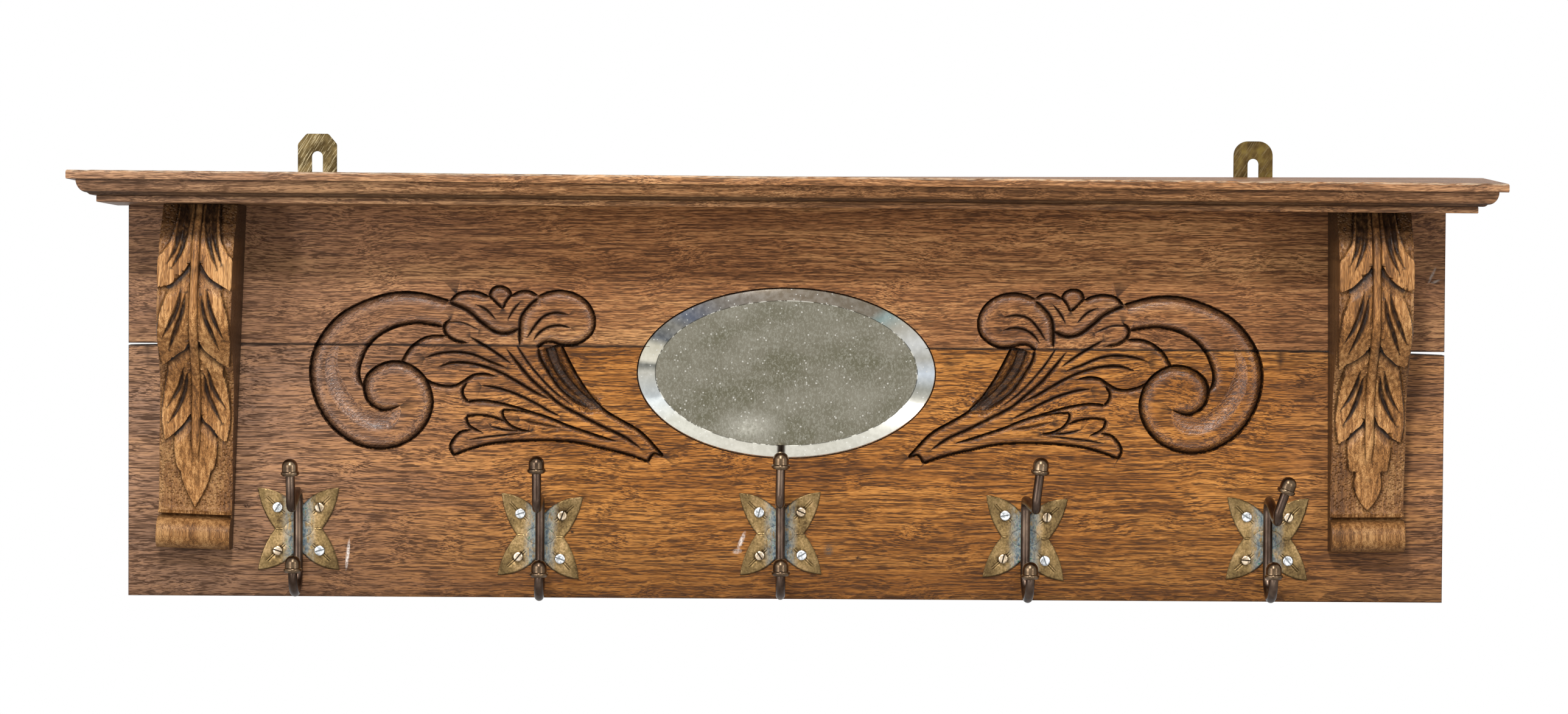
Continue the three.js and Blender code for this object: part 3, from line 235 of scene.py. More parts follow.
    # Handling has polished the carving, but not the dirt in it.
    polished = n("larger", worked, n("times", ground, 0.4))
    shine = n("larger", n("times", polished, n("minus", 0.36, dirt_and_shade)), 0.0)
    matt = n("minus", n("plus", n("times", streak, 0.24), 0.32), n("times", worked, 0.15))
    n("surface", n(
        "shader", colour, matt, Normal=n("bump", height, 0.6, 0.0003), IOR=1.5,
        Specular_IOR_Level=n("plus", shine, 0.15), Coat_Weight=0.03, Coat_Roughness=0.25,
    ))
    return made


def brass(name, dark, mid, light, rough=0.36, patina=None, grit=1.0, patch=(9, 9, 9)):
    """Cast or pressed brass that has gone brown. Handling leaves it mottled, a few millimetres across, damp
    leaves blue-grey and green verdigris where `damp` is 1, and dirt fills what is `carved`."""
    made, n, space = material(name)
    broad = n("noise", n("laid", space, per(*patch)), 3.0, 0.6)
    small = n("noise", n("laid", space, per(1.6, 1.6, 1.6)), 3.0, 0.6)
    tone = n("plus", n("times", broad, 1.0 - 0.38 * grit), n("times", small, 0.38 * grit))
    colour = n("ramp", tone, stops=((0.36, dark), (0.52, mid), (0.68, light)))
    roughness = n("plus", n("times", small, 0.2 * grit), rough - 0.1 * grit)
    metal = 1.0
    if patina:
        colour = n("mix", n("times", n("mark", attribute_name="tip"), 0.45), colour, "#54442b")
        cloud = n("noise", n("laid", space, per(3.0, 5.5, 6.5)), 4.0, 0.65)
        cloud = n("ramp", cloud, stops=((0.33, 0.0), (0.52, 1.0)))
        green = n("times", n("mark", attribute_name="damp"), cloud, use_clamp=True)
        hue = n("noise", n("laid", space, per(2.4, 2.4, 3.4), (7, 0, 0)), 2.0, 0.6)
        crust = ((0.36, "#465c68"), (0.48, patina), (0.6, "#9a9c94"), (0.68, "#2f7468"))
        colour = n("mix", green, colour, n("ramp", hue, stops=crust))
        metal = n("minus", 1.0, n("times", green, 0.75))
        roughness = n("plus", roughness, n("times", green, 0.3))
    dirt = n("times", n("mark", attribute_name="carved"), 0.92, use_clamp=True)
    colour = n("mix", dirt, colour, "#1f160c")
    n("surface", n("shader", colour, roughness, metal, Normal=n("bump", small, 0.35 * grit, 0.0002)))
    return made


def plated_steel(name, mid, light, rough):
    """Zinc-plated or plain steel: bright, with a faint spangle and dirt in its slot."""
    made, n, space = material(name)
    spangle = n("noise", n("laid", space, per(1.9, 1.9, 1.9)), 3.0, 0.6)
    colour = n("ramp", spangle, stops=((0.42, mid), (0.56, light)))
    colour = n("mix", n("times", n("mark", attribute_name="carved"), 0.75), colour, "#5c5f60")
    n("surface", n("shader", colour, n("plus", n("times", spangle, 0.2), rough), 1.0))
    return made


def scratched_brass(name, dark, mid, light, scratch):
    """Rolled brass sheet, rubbed bright in slanting strokes 0.4 mm wide that were drawn by hand."""
    made, n, space = material(name, (0.0, math.radians(58), 0.0))
    broad = n("noise", n("laid", space, per(13, 13, 9)), 3.0, 0.6)
    lines = n("noise", n("laid", space, per(16, 3, 0.8)), 3.0, 0.7)
    colour = n("ramp", broad, stops=((0.36, dark), (0.5, mid), (0.66, light)))
    colour = n("mix", n("ramp", lines, stops=((0.55, 0.0), (0.62, 1.0))), colour, scratch)
    n("surface", n("shader", colour, n("plus", n("times", lines, 0.3), 0.25), 1.0))
    return made


def old_silvering(name):
    """The back of the glass, silvered by hand and gone grey: an olive bloom that is partly a painted
    reflection of a dim room, pale specks under a millimetre and a clouded patch low on the left."""
    made, n, space = material(name)
    cloud = n("noise", n("laid", space, per(46, 46, 26)), 3.0, 0.55)
    colour = n("ramp", cloud, stops=((0.36, "#77735f"), (0.5, "#868170"), (0.68, "#959080")))
    worm = n("noise", n("laid", space, per(1.5, 1.5, 2.4)), 2.0, 0.6, Distortion=0.8)
    colour = n("mix", n("ramp", worm, stops=((0.48, 0.0), (0.62, 0.55))), colour, "#aeab9c")
    specks = n("ramp", n("cells", n("laid", space, per(3.4, 3.4, 3.4))), stops=((0.12, 1.0), (0.26, 0.0)))
    some = n("noise", n("laid", space, per(7, 7, 7)), 2.0, 0.5)
    some = n("ramp", some, stops=((0.5, 0.0), (0.58, 1.0)))
    colour = n("mix", n("times", specks, some), colour, "#dedbd0")
    patch = n("fade", n("laid", space, (1 / 34, 0, 1 / 17), (30 / 34, 0, 21 / 17)))
    haze = n("times", patch, n("noise", n("laid", space, per(3, 3, 3)), 4.0, 0.7), use_clamp=True)
    colour = n("mix", haze, colour, "#cfccc0")
    n("surface", n("shader", colour, n("plus", n("times", haze, 0.4), 0.12), 1.0))
    return made


def ground_edge(name):
    """The ground edge and painted back of the glass: matt grey-green with a fine grit."""
    made, n, space = material(name)
    grit = n("noise", n("laid", space, per(0.8, 0.8, 0.8)), 3.0, 0.6)
    colour = n("ramp", grit, stops=((0.35, "#6b6f66"), (0.65, "#a3a79d")))
    n("surface", n("shader", colour, 0.55, IOR=1.52))
    return made


# Painted reflections of the room on the bevel, once round the oval from its left end by way of its foot.
PAINTED_BEVEL_REFLECTIONS = (
    (0.0, "#cfccc0"), (0.05, "#c6cdd0"), (0.1, "#cac9bd"), (0.2, "#d3cfc2"), (0.3, "#cdcabd"),
    (0.39, "#d6d3c8"), (0.42, "#ffffff"), (0.445, "#cfccc0"), (0.47, "#a5a69d"), (0.5, "#dde6f0"),
    (0.53, "#b5b3aa"), (0.56, "#dfe0de"), (0.6, "#b9b4a6"), (0.625, "#8fa6a4"), (0.64, "#7d7263"),
    (0.75, "#7f705f"), (0.83, "#77706a"), (0.875, "#5c6478"), (0.9, "#7d7a72"), (0.93, "#4f5661"),
    (0.945, "#d8d2bd"), (0.975, "#f2ecd9"), (0.985, "#5f625e"), (1.0, "#cfccc0"),
)


def bevel_silvering(name):
    """The ground and polished bevel, with painted reflections of the room in bands that change round the
    oval.
    """
    made, n, space = material(name)
    split = n("split", space).outputs
    out = n("over", split[0], MIRROR_W / 2)
    up = n("over", n("minus", split[2], MIRROR_Z), MIRROR_H / 2)
    turn = n("plus", n("over", n("maths", up, out, operation="ARCTAN2"), 2 * math.pi), 0.5)
    waver = n("noise", n("laid", space, per(5, 5, 5)), 3.0, 0.6)
    cast = n("ramp", waver, stops=((0.4, "#8a8778"), (0.62, "#e4e2d8")))
    # The painted reflections, round the oval.
    colour = n("mix", 0.16, n("ramp", turn, stops=PAINTED_BEVEL_REFLECTIONS), cast)
    specks = n("ramp", n("cells", n("laid", space, per(4.2, 4.2, 4.2))), stops=((0.08, 0.8), (0.16, 0.0)))
    colour = n("mix", specks, colour, "#ecebe4")
    # The line where the bevel meets the flat, chipped pale in places.
    line = n("mix", n("ramp", waver, stops=((0.5, 0.0), (0.56, 1.0))), "#4d4a40", "#e6e3d6")
    inner = n("ramp", n("mark", attribute_name="inner"), stops=((0.35, 0.0), (0.75, 0.85)))
    n("surface", n("shader", n("mix", inner, colour, line), 0.07, 1.0))
    return made


OAK_LOWER = oak(
    "waxed_oak_lower_board", "#784920", "#a2662c", "#cb8a45", shift=3.0, pore=0.86, foot=0.5, dust_and_sheen=0.55,
    spots=(
        (-177.0, -108.0, 2.2, 1.8, 0, "#120a05"),
        (-446.8, -88.0, 6.0, 2.4, 0, "#2a1608"),
        (-363.7, -128.0, 1.8, 14.0, -6, "#e6d9cf"),
        (-36.5, -114.5, 2.2, 9.0, -22, "#e0d2c8"),
        (-40.0, -123.5, 4.5, 2.6, 10, "#bfaca0"),
        (36.0, -122.0, 5.0, 6.0, 0, "#5b4a3c"),
        (60.0, -128.5, 2.6, 2.4, 0, "#2e1d12"),
    ),
)
OAK_UPPER = oak(
    "waxed_oak_upper_board", "#7a4d2d", "#a87145", "#cd9661", shift=11.0, pore=0.72, size=0.75, dust_and_sheen=0.35,
    spots=((535.0, 109.0, 1.5, 9.0, -25, "#b8a89c"), (538.0, 104.0, 5.0, 1.4, 20, "#b8a89c")),
)
OAK_SHELF = oak("waxed_oak_shelf", "#704a2b", "#a37148", "#cb9969", shift=19.0, pore=0.66, dust_and_sheen=0.3)
OAK_BRACKET = oak(  # its grain runs up and down
    "waxed_oak_bracket", "#6c4725", "#ab7541", "#d8a369", turn=(0.0, math.radians(90), 0.0), shift=27.0,
    pore=0.4, figure=0.5, size=1.3, sides=0.62,
)
PLATE_BRASS = brass(
    "pressed_brass_plate", "#54422b", "#90774e", "#c6a475", 0.36, patina="#6f7f84", patch=(13, 13, 17)
)
ROD_BRONZE = brass("lacquered_brass_rod", "#3c2f27", "#51433a", "#6c5b4d", 0.3, grit=0.2, patch=(14, 14, 30))
CAP_BRONZE = brass("lacquered_brass_cap", "#493b30", "#64523f", "#85715b", 0.28, grit=0.2, patch=(14, 14, 14))
ZINC = plated_steel("zinc_plated_screw", "#b4b8ba", "#e9ebec", 0.16)
SCREW_BRASS = brass("turned_brass_screw", "#96836a", "#c9b59a", "#e6d6c0", 0.3, grit=0.6, patch=(5, 5, 5))
STEEL = plated_steel("plain_steel_screw", "#6d6d6a", "#8f8f8c", 0.34)
HANGER_LEFT = scratched_brass("rubbed_brass_sheet", "#463922", "#625335", "#7f6c47", "#a79a79")
HANGER_RIGHT = scratched_brass("dull_brass_sheet", "#45361f", "#5b492a", "#726032", "#706143")
SILVERING = old_silvering("old_silvered_glass")
BEVEL = bevel_silvering("silvered_bevel")
GLASS_EDGE = ground_edge("ground_glass_edge")


# ------------------------------------------------------------------ lines and cuts

def smooth_line(points, spacing):
    """A smooth line through the points, as evenly spaced points, the way it runs and how far along."""
    p = np.array(points, float)
    p = np.vstack([2 * p[0] - p[1], p, 2 * p[-1] - p[-2]])
    dense = []
    for a, b, c, d in zip(p, p[1:], p[2:], p[3:]):
        ta, tb, tc = (max(np.linalg.norm(v), 1e-6) ** 0.5 for v in (b - a, c - b, d - c))
        m1 = (c - b + tb * ((b - a) / ta - (c - a) / (ta + tb)))
        m2 = (c - b + tb * ((d - c) / tc - (d - b) / (tb + tc)))
        t = np.linspace(0, 1, 16, endpoint=False)[:, None]
        from_b, from_c = (2 * t**3 - 3 * t**2 + 1) * b, (3 * t**2 - 2 * t**3) * c
        dense.append(from_b + (t**3 - 2 * t**2 + t) * m1 + from_c + (t**3 - t**2) * m2)
    dense = np.vstack(dense + [p[-2:-1]])
    along = np.concatenate([[0], np.cumsum(np.linalg.norm(np.diff(dense, axis=0), axis=1))])
    count = max(4, int(round(along[-1] / spacing)) + 1)
    at = np.linspace(0, along[-1], count)
    line = np.stack([np.interp(at, along, dense[:, i]) for i in (0, 1)], axis=1)
    return line, direction(line), at


def direction(line):
    """The way a line runs at each of its points."""
    way = np.gradient(line, axis=0)
    return way / (np.linalg.norm(way, axis=1)[:, None] + 1e-9)


def aside_of(way):
    """Square to a way, on its left."""
    return np.stack([-way[:, 1], way[:, 0]], axis=1)


class Cut:
    """One carved line. It is `deep` at its middle and rises over `left` and `right` millimetres to
    either side: round where that is wide, steep where it is under 2 mm, or as a `scoop`. Open ends
    fade over `fade`."""

    def __init__(self, points, deep, left, right, fade, spacing=1.2, scoop=False):
        self.line, self.way, at = smooth_line(points, spacing)
        self.deep, self.left, self.right, self.scoop = deep, left, right, scoop
        rise = np.clip(at / max(fade[0], 0.01), 0, 1) * np.clip((at[-1] - at) / max(fade[1], 0.01), 0, 1)
        self.size = np.clip(np.sqrt(rise), 0.04, 1.0)

    def points(self):
        """Points to either side of the line at which its section is drawn."""
        made = []
        for width, sign in ((self.left, 1), (self.right, -1)):
            for step in (1.0, 0.75) if width < 2 else (1.0, 0.7, 0.42, 0.2, 0.06):
                made.append(self.line + aside_of(self.way) * (sign * width * step * self.size[:, None]))
        return np.vstack(made)

    def depth(self, where):
        """How deep the cut is at each of many points. `ink` is 1 along its foot, where dirt lies."""
        result, self.ink = np.zeros(len(where)), np.zeros(len(where))
        reach = max(self.left, self.right)
        for start in range(0, len(self.line), 24):
            part = slice(start, min(start + 25, len(self.line)))
            low, high = self.line[part].min(0) - reach, self.line[part].max(0) + reach
            near = np.nonzero(np.all((where >= low) & (where <= high), axis=1))[0]
            if not len(near):
                continue
            gap = where[near][:, None, :] - self.line[part][None, :, :]
            best = np.argmin((gap**2).sum(2), axis=1)
            gap, way, size = gap[np.arange(len(near)), best], self.way[part][best], self.size[part][best]
            aside = way[:, 0] * gap[:, 1] - way[:, 1] * gap[:, 0]
            away = np.hypot(aside, np.maximum(np.abs((way * gap).sum(1)) - 1.0, 0))
            width = np.where(aside > 0, self.left, self.right)
            t = np.clip(away / (width * size), 0, 1)
            line = np.clip(1.5 - away / ((0.38 * self.deep + 0.5) * np.maximum(size, 0.3)), 0, 1)
            self.ink[near] = np.maximum(self.ink[near], line * (t < 0.99))
            wide = 1 - t**1.6 if self.scoop else 1 - np.sqrt(1 - (1 - t) ** 2)
            shape = np.where(width < (1.5 if self.scoop else 2), 1 - t, wide)
            result[near] = np.maximum(result[near], self.deep * size * shape)
        return result


def merged(depths):
    """The depth where several cuts meet."""
    return sum(depth**3 for depth in depths) ** (1 / 3)


def inside_of(p, outline):
    """Which of many points lie inside a closed outline."""
    x, y = p[:, 0], p[:, 1]
    found = np.zeros(len(p), bool)
    for (ax, ay), (bx, by) in zip(outline, np.roll(outline, -1, axis=0)):
        found ^= ((ay > y) != (by > y)) & (x < (bx - ax) * (y - ay) / (by - ay + 1e-12) + ax)
    return found


def distance_to(p, outline):
    best = np.full(len(p), 1e9)
    for a, b in zip(outline, np.roll(outline, -1, axis=0)):
        ab = b - a
        t = np.clip(((p - a) @ ab) / (ab @ ab + 1e-12), 0, 1)
        best = np.minimum(best, np.linalg.norm(p - a - t[:, None] * ab, axis=1))
    return best


def sheet(outline, lines, cuts, inside, spare, least=0.55):
    """Triangles over an outline, with their edges along every line and cut. `spare` points are added,
    but points that lie nearer to others than `least` are left out."""
    points, edges = [], []

    def chain(line, closed=False):
        first, count = len(points), len(line)
        points.extend(map(tuple, line))
        edges.extend((first + i, first + i + 1) for i in range(count - 1))
        if closed:
            edges.append((first + count - 1, first))

    chain(outline, True)
    for line in list(lines) + [cut.line for cut in cuts]:
        held = inside(line)
        breaks = np.nonzero(np.diff(held))[0] + 1
        for part, ok in zip(np.split(line, breaks), np.split(held, breaks)):
            if ok[0] and len(part) > 1:
                chain(part)
    spread = np.vstack([cut.points() for cut in cuts] + [np.array(spare, float)])
    taken = {(round(x / least), round(z / least)) for x, z in points}
    for x, z in spread[inside(spread)]:
        cell = (round(x / least), round(z / least))
        if cell not in taken:
            taken.add(cell)
            points.append((x, z))
    found = delaunay_2d_cdt([Vector(p) for p in points], edges, [], 0, 1e-3)
    return np.array([tuple(v) for v in found[0]]), np.array(found[2])


# ------------------------------------------------------------------ meshes

def placed(name, data):
    made = bpy.data.objects.new(name, data)
    bpy.context.collection.objects.link(made)
    return made


def smooth(mesh, angle):
    """Shades a mesh smooth, with edges sharper than the angle kept."""
    mesh.polygons.foreach_set("use_smooth", [True] * len(mesh.polygons))
    mesh.set_sharp_from_angle(angle=math.radians(angle))


def mark(mesh, name, values):
    """Keeps a number or a vector for each vertex."""
    values = np.array(values, np.float32)
    kind, field = ("FLOAT_VECTOR", "vector") if values.ndim == 2 else ("FLOAT", "value")
    mesh.attributes.new(name, kind, "POINT").data.foreach_set(field, values.ravel())


def stands_for(piece, slot, *nodes):
    """The piece rides on the rack and takes the place of CAD nodes."""
    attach(piece, "root")
    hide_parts(*nodes)


def mesh_of(name, verts, edges, faces):
    """A mesh from millimetres."""
    mesh = bpy.data.meshes.new(name)
    mesh.from_pydata([tuple(c * MM for c in v) for v in verts], edges, faces)
    return mesh


def dressed(name, mesh, finishes, angle=32.0):
    for finish in finishes:
        mesh.materials.append(finish)
    smooth(mesh, angle)
    return placed(name, mesh)


def cutter(parts):
    """One plain object from several (verts, faces), to cut with."""
    verts, faces = [], []
    for more, these in parts:
        faces += [tuple(i + len(verts) for i in face) for face in these]
        verts += more
    return placed("cutter", mesh_of("cutter", verts, [], faces))


def apply_modifiers(piece):
    depsgraph = bpy.context.evaluated_depsgraph_get()
    mesh = bpy.data.meshes.new_from_object(piece.evaluated_get(depsgraph), depsgraph=depsgraph)
    piece.modifiers.clear()
    piece.data = mesh


def cut_away(piece, parts):
    """Takes the parts' volume out of a piece."""
    tool = cutter(parts)
    mod = piece.modifiers.new("cut", "BOOLEAN")
    mod.operation, mod.solver, mod.object = "DIFFERENCE", "EXACT", tool
    apply_modifiers(piece)
    bpy.data.objects.remove(tool)


def close_up(bm):
    """Fills every open rim and turns all faces outwards."""
    bmesh.ops.holes_fill(bm, edges=[edge for edge in bm.edges if edge.is_boundary], sides=0)
    bmesh.ops.recalc_face_normals(bm, faces=bm.faces)


def piece_of(name, bm, finish, angle=32.0):
    """The finished mesh, turned to metres, as an object."""
    bm.transform(Matrix.Scale(MM, 4))
    mesh = bpy.data.meshes.new(name)
    bm.to_mesh(mesh)
    bm.free()
    return dressed(name, mesh, [finish], angle)


def block(points, faces, marks, back, lift=lambda x, z: 0.0, sunk=None, floor=0.0, wall_shade=None):
    """A closed mesh: a sheet of points as its front, and walls from its rim to a flat back, which `lift`
    raises. `sunk` faces lie at the floor's depth, with a wall round them. `wall_shade` gives what is
    `carved` at the back of each wall: painted shade where the walls meet the board."""
    bm = bmesh.new()
    layers = {key: bm.verts.layers.float.new(key) for key in marks}
    upper = [bm.verts.new(point) for point in points]
    for key, layer in layers.items():
        for vert, value in zip(upper, marks[key]):
            vert[layer] = value
    lower, behind, shared = {}, {}, {}
    for face, low in zip(faces, np.zeros(len(faces), bool) if sunk is None else sunk):
        for i in face if low else ():
            if i not in lower:
                lower[i] = bm.verts.new((points[i][0], floor, points[i][2]))
                for layer in layers.values():
                    lower[i][layer] = 1.0
        bm.faces.new([(lower if low else upper)[i] for i in face])
        for a, b in zip(face, np.roll(face, -1)):
            shared.setdefault((min(a, b), max(a, b)), []).append((a, b, low))
    for sides in shared.values():
        if len(sides) == 2 and sides[0][2] != sides[1][2]:
            a, b, _ = sides[1] if sides[0][2] else sides[0]
            bm.faces.new((upper[b], upper[a], lower[a], lower[b]))
    for sides in shared.values():
        if len(sides) == 1:
            a, b = ((lower if sides[0][2] else upper)[i] for i in sides[0][:2])
            for vert in (a, b):
                if vert not in behind:
                    x, _, z = vert.co
                    behind[vert] = bm.verts.new((x, back, z + lift(x, z)))
                    # Painted shade at the back of each wall, where it meets the board.
                    if wall_shade:
                        behind[vert][layers["carved"]] = wall_shade(x)
            bm.faces.new((b, a, behind[a], behind[b]))
    bmesh.ops.remove_doubles(bm, verts=bm.verts, dist=1e-4)
    close_up(bm)
    return bm


def turned(profile, segments):
    """A lathe-turned shape about Z from (radius, height) pairs that start and end on the axis."""
    verts, faces, rings = [], [], []
    for radius, height in profile:
        if radius < 1e-6:
            rings.append([len(verts)])
            verts.append((0, 0, height))
        else:
            rings.append(range(len(verts), len(verts) + segments))
            for i in range(segments):
                angle = 2 * math.pi * i / segments
                verts.append((radius * math.cos(angle), radius * math.sin(angle), height))
    for low, high in zip(rings, rings[1:]):
        for i in range(segments):
            j = (i + 1) % segments
            if len(low) == 1:
                faces.append((low[0], high[j], high[i]))
            elif len(high) == 1:
                faces.append((low[i], low[j], high[0]))
            else:
                faces.append((low[i], low[j], high[j], high[i]))
    return verts, faces


# ------------------------------------------------------------------ geometry trees

def tree_of(name, **sockets):
    """A new geometry tree with its inputs, and what adds its nodes."""
    tree = bpy.data.node_groups.new(name, "GeometryNodeTree")
    for label, kind in {"Geometry": "Geometry", **sockets}.items():
        tree.interface.new_socket(label, in_out="INPUT", socket_type="NodeSocket" + kind)
    tree.interface.new_socket("Geometry", in_out="OUTPUT", socket_type="NodeSocketGeometry")
    return tree, partial(add, tree), add(tree, "NodeGroupInput").outputs


def end_tree(n, geometry, finish):
    real = n("GeometryNodeRealizeInstances", Geometry=geometry).outputs[0]
    n("NodeGroupOutput", Geometry=n("GeometryNodeSetMaterial", Geometry=real, Material=finish).outputs[0])


def bent_bar_tree():
    """A round bar along each line of the mesh it is given."""
    tree, n, given = tree_of("round_bar_along_line", Radius="Float", Sides="Int", Finish="Material")
    curve = n("GeometryNodeMeshToCurve", Mesh=given["Geometry"]).outputs[0]
    ring = n("GeometryNodeCurvePrimitiveCircle", Resolution=given["Sides"], Radius=given["Radius"])
    ring = ring.outputs["Curve"]
    bar = n("GeometryNodeCurveToMesh", Curve=curve, Profile_Curve=ring, Fill_Caps=True).outputs[0]
    end_tree(n, bar, given["Finish"])
    return tree


def copies_tree():
    """A copy of one piece on every point, turned by the point's own `turn`."""
    tree, n, given = tree_of("copies_on_points", Piece="Object", Finish="Material")
    piece = n("GeometryNodeObjectInfo", Object=given["Piece"], transform_space="ORIGINAL")
    turn = n("GeometryNodeInputNamedAttribute", Name="turn", data_type="FLOAT_VECTOR")
    copies = n(
        "GeometryNodeInstanceOnPoints", Points=given["Geometry"], Instance=piece.outputs["Geometry"],
        Rotation=turn.outputs["Attribute"],
    )
    end_tree(n, copies.outputs[0], given["Finish"])
    return tree


def grown(name, base, tree, angle=32.0, **values):
    """Runs a geometry tree on a mesh and keeps what it makes as a plain mesh."""
    made = placed(name, base)
    mod = made.modifiers.new("grow", "NODES")
    mod.node_group = tree
    for item in tree.interface.items_tree:
        if item.in_out == "INPUT" and item.name in values:
            mod[item.identifier] = values[item.name]
    apply_modifiers(made)
    made.data.name = name
    smooth(made.data, angle)
    return made


def copied(name, source, finish, places, angle=32.0):
    """Copies of one piece at places, each with the turn its copy takes."""
    mesh = mesh_of(name + "_places", [at for at, _ in places], [], [])
    mark(mesh, "turn", [tuple(turn) for _, turn in places])
    return grown(name, mesh, COPIES_TREE, angle, Piece=source, Finish=finish)


BAR_TREE = bent_bar_tree()
COPIES_TREE = copies_tree()


# ------------------------------------------------------------------ the scroll carving

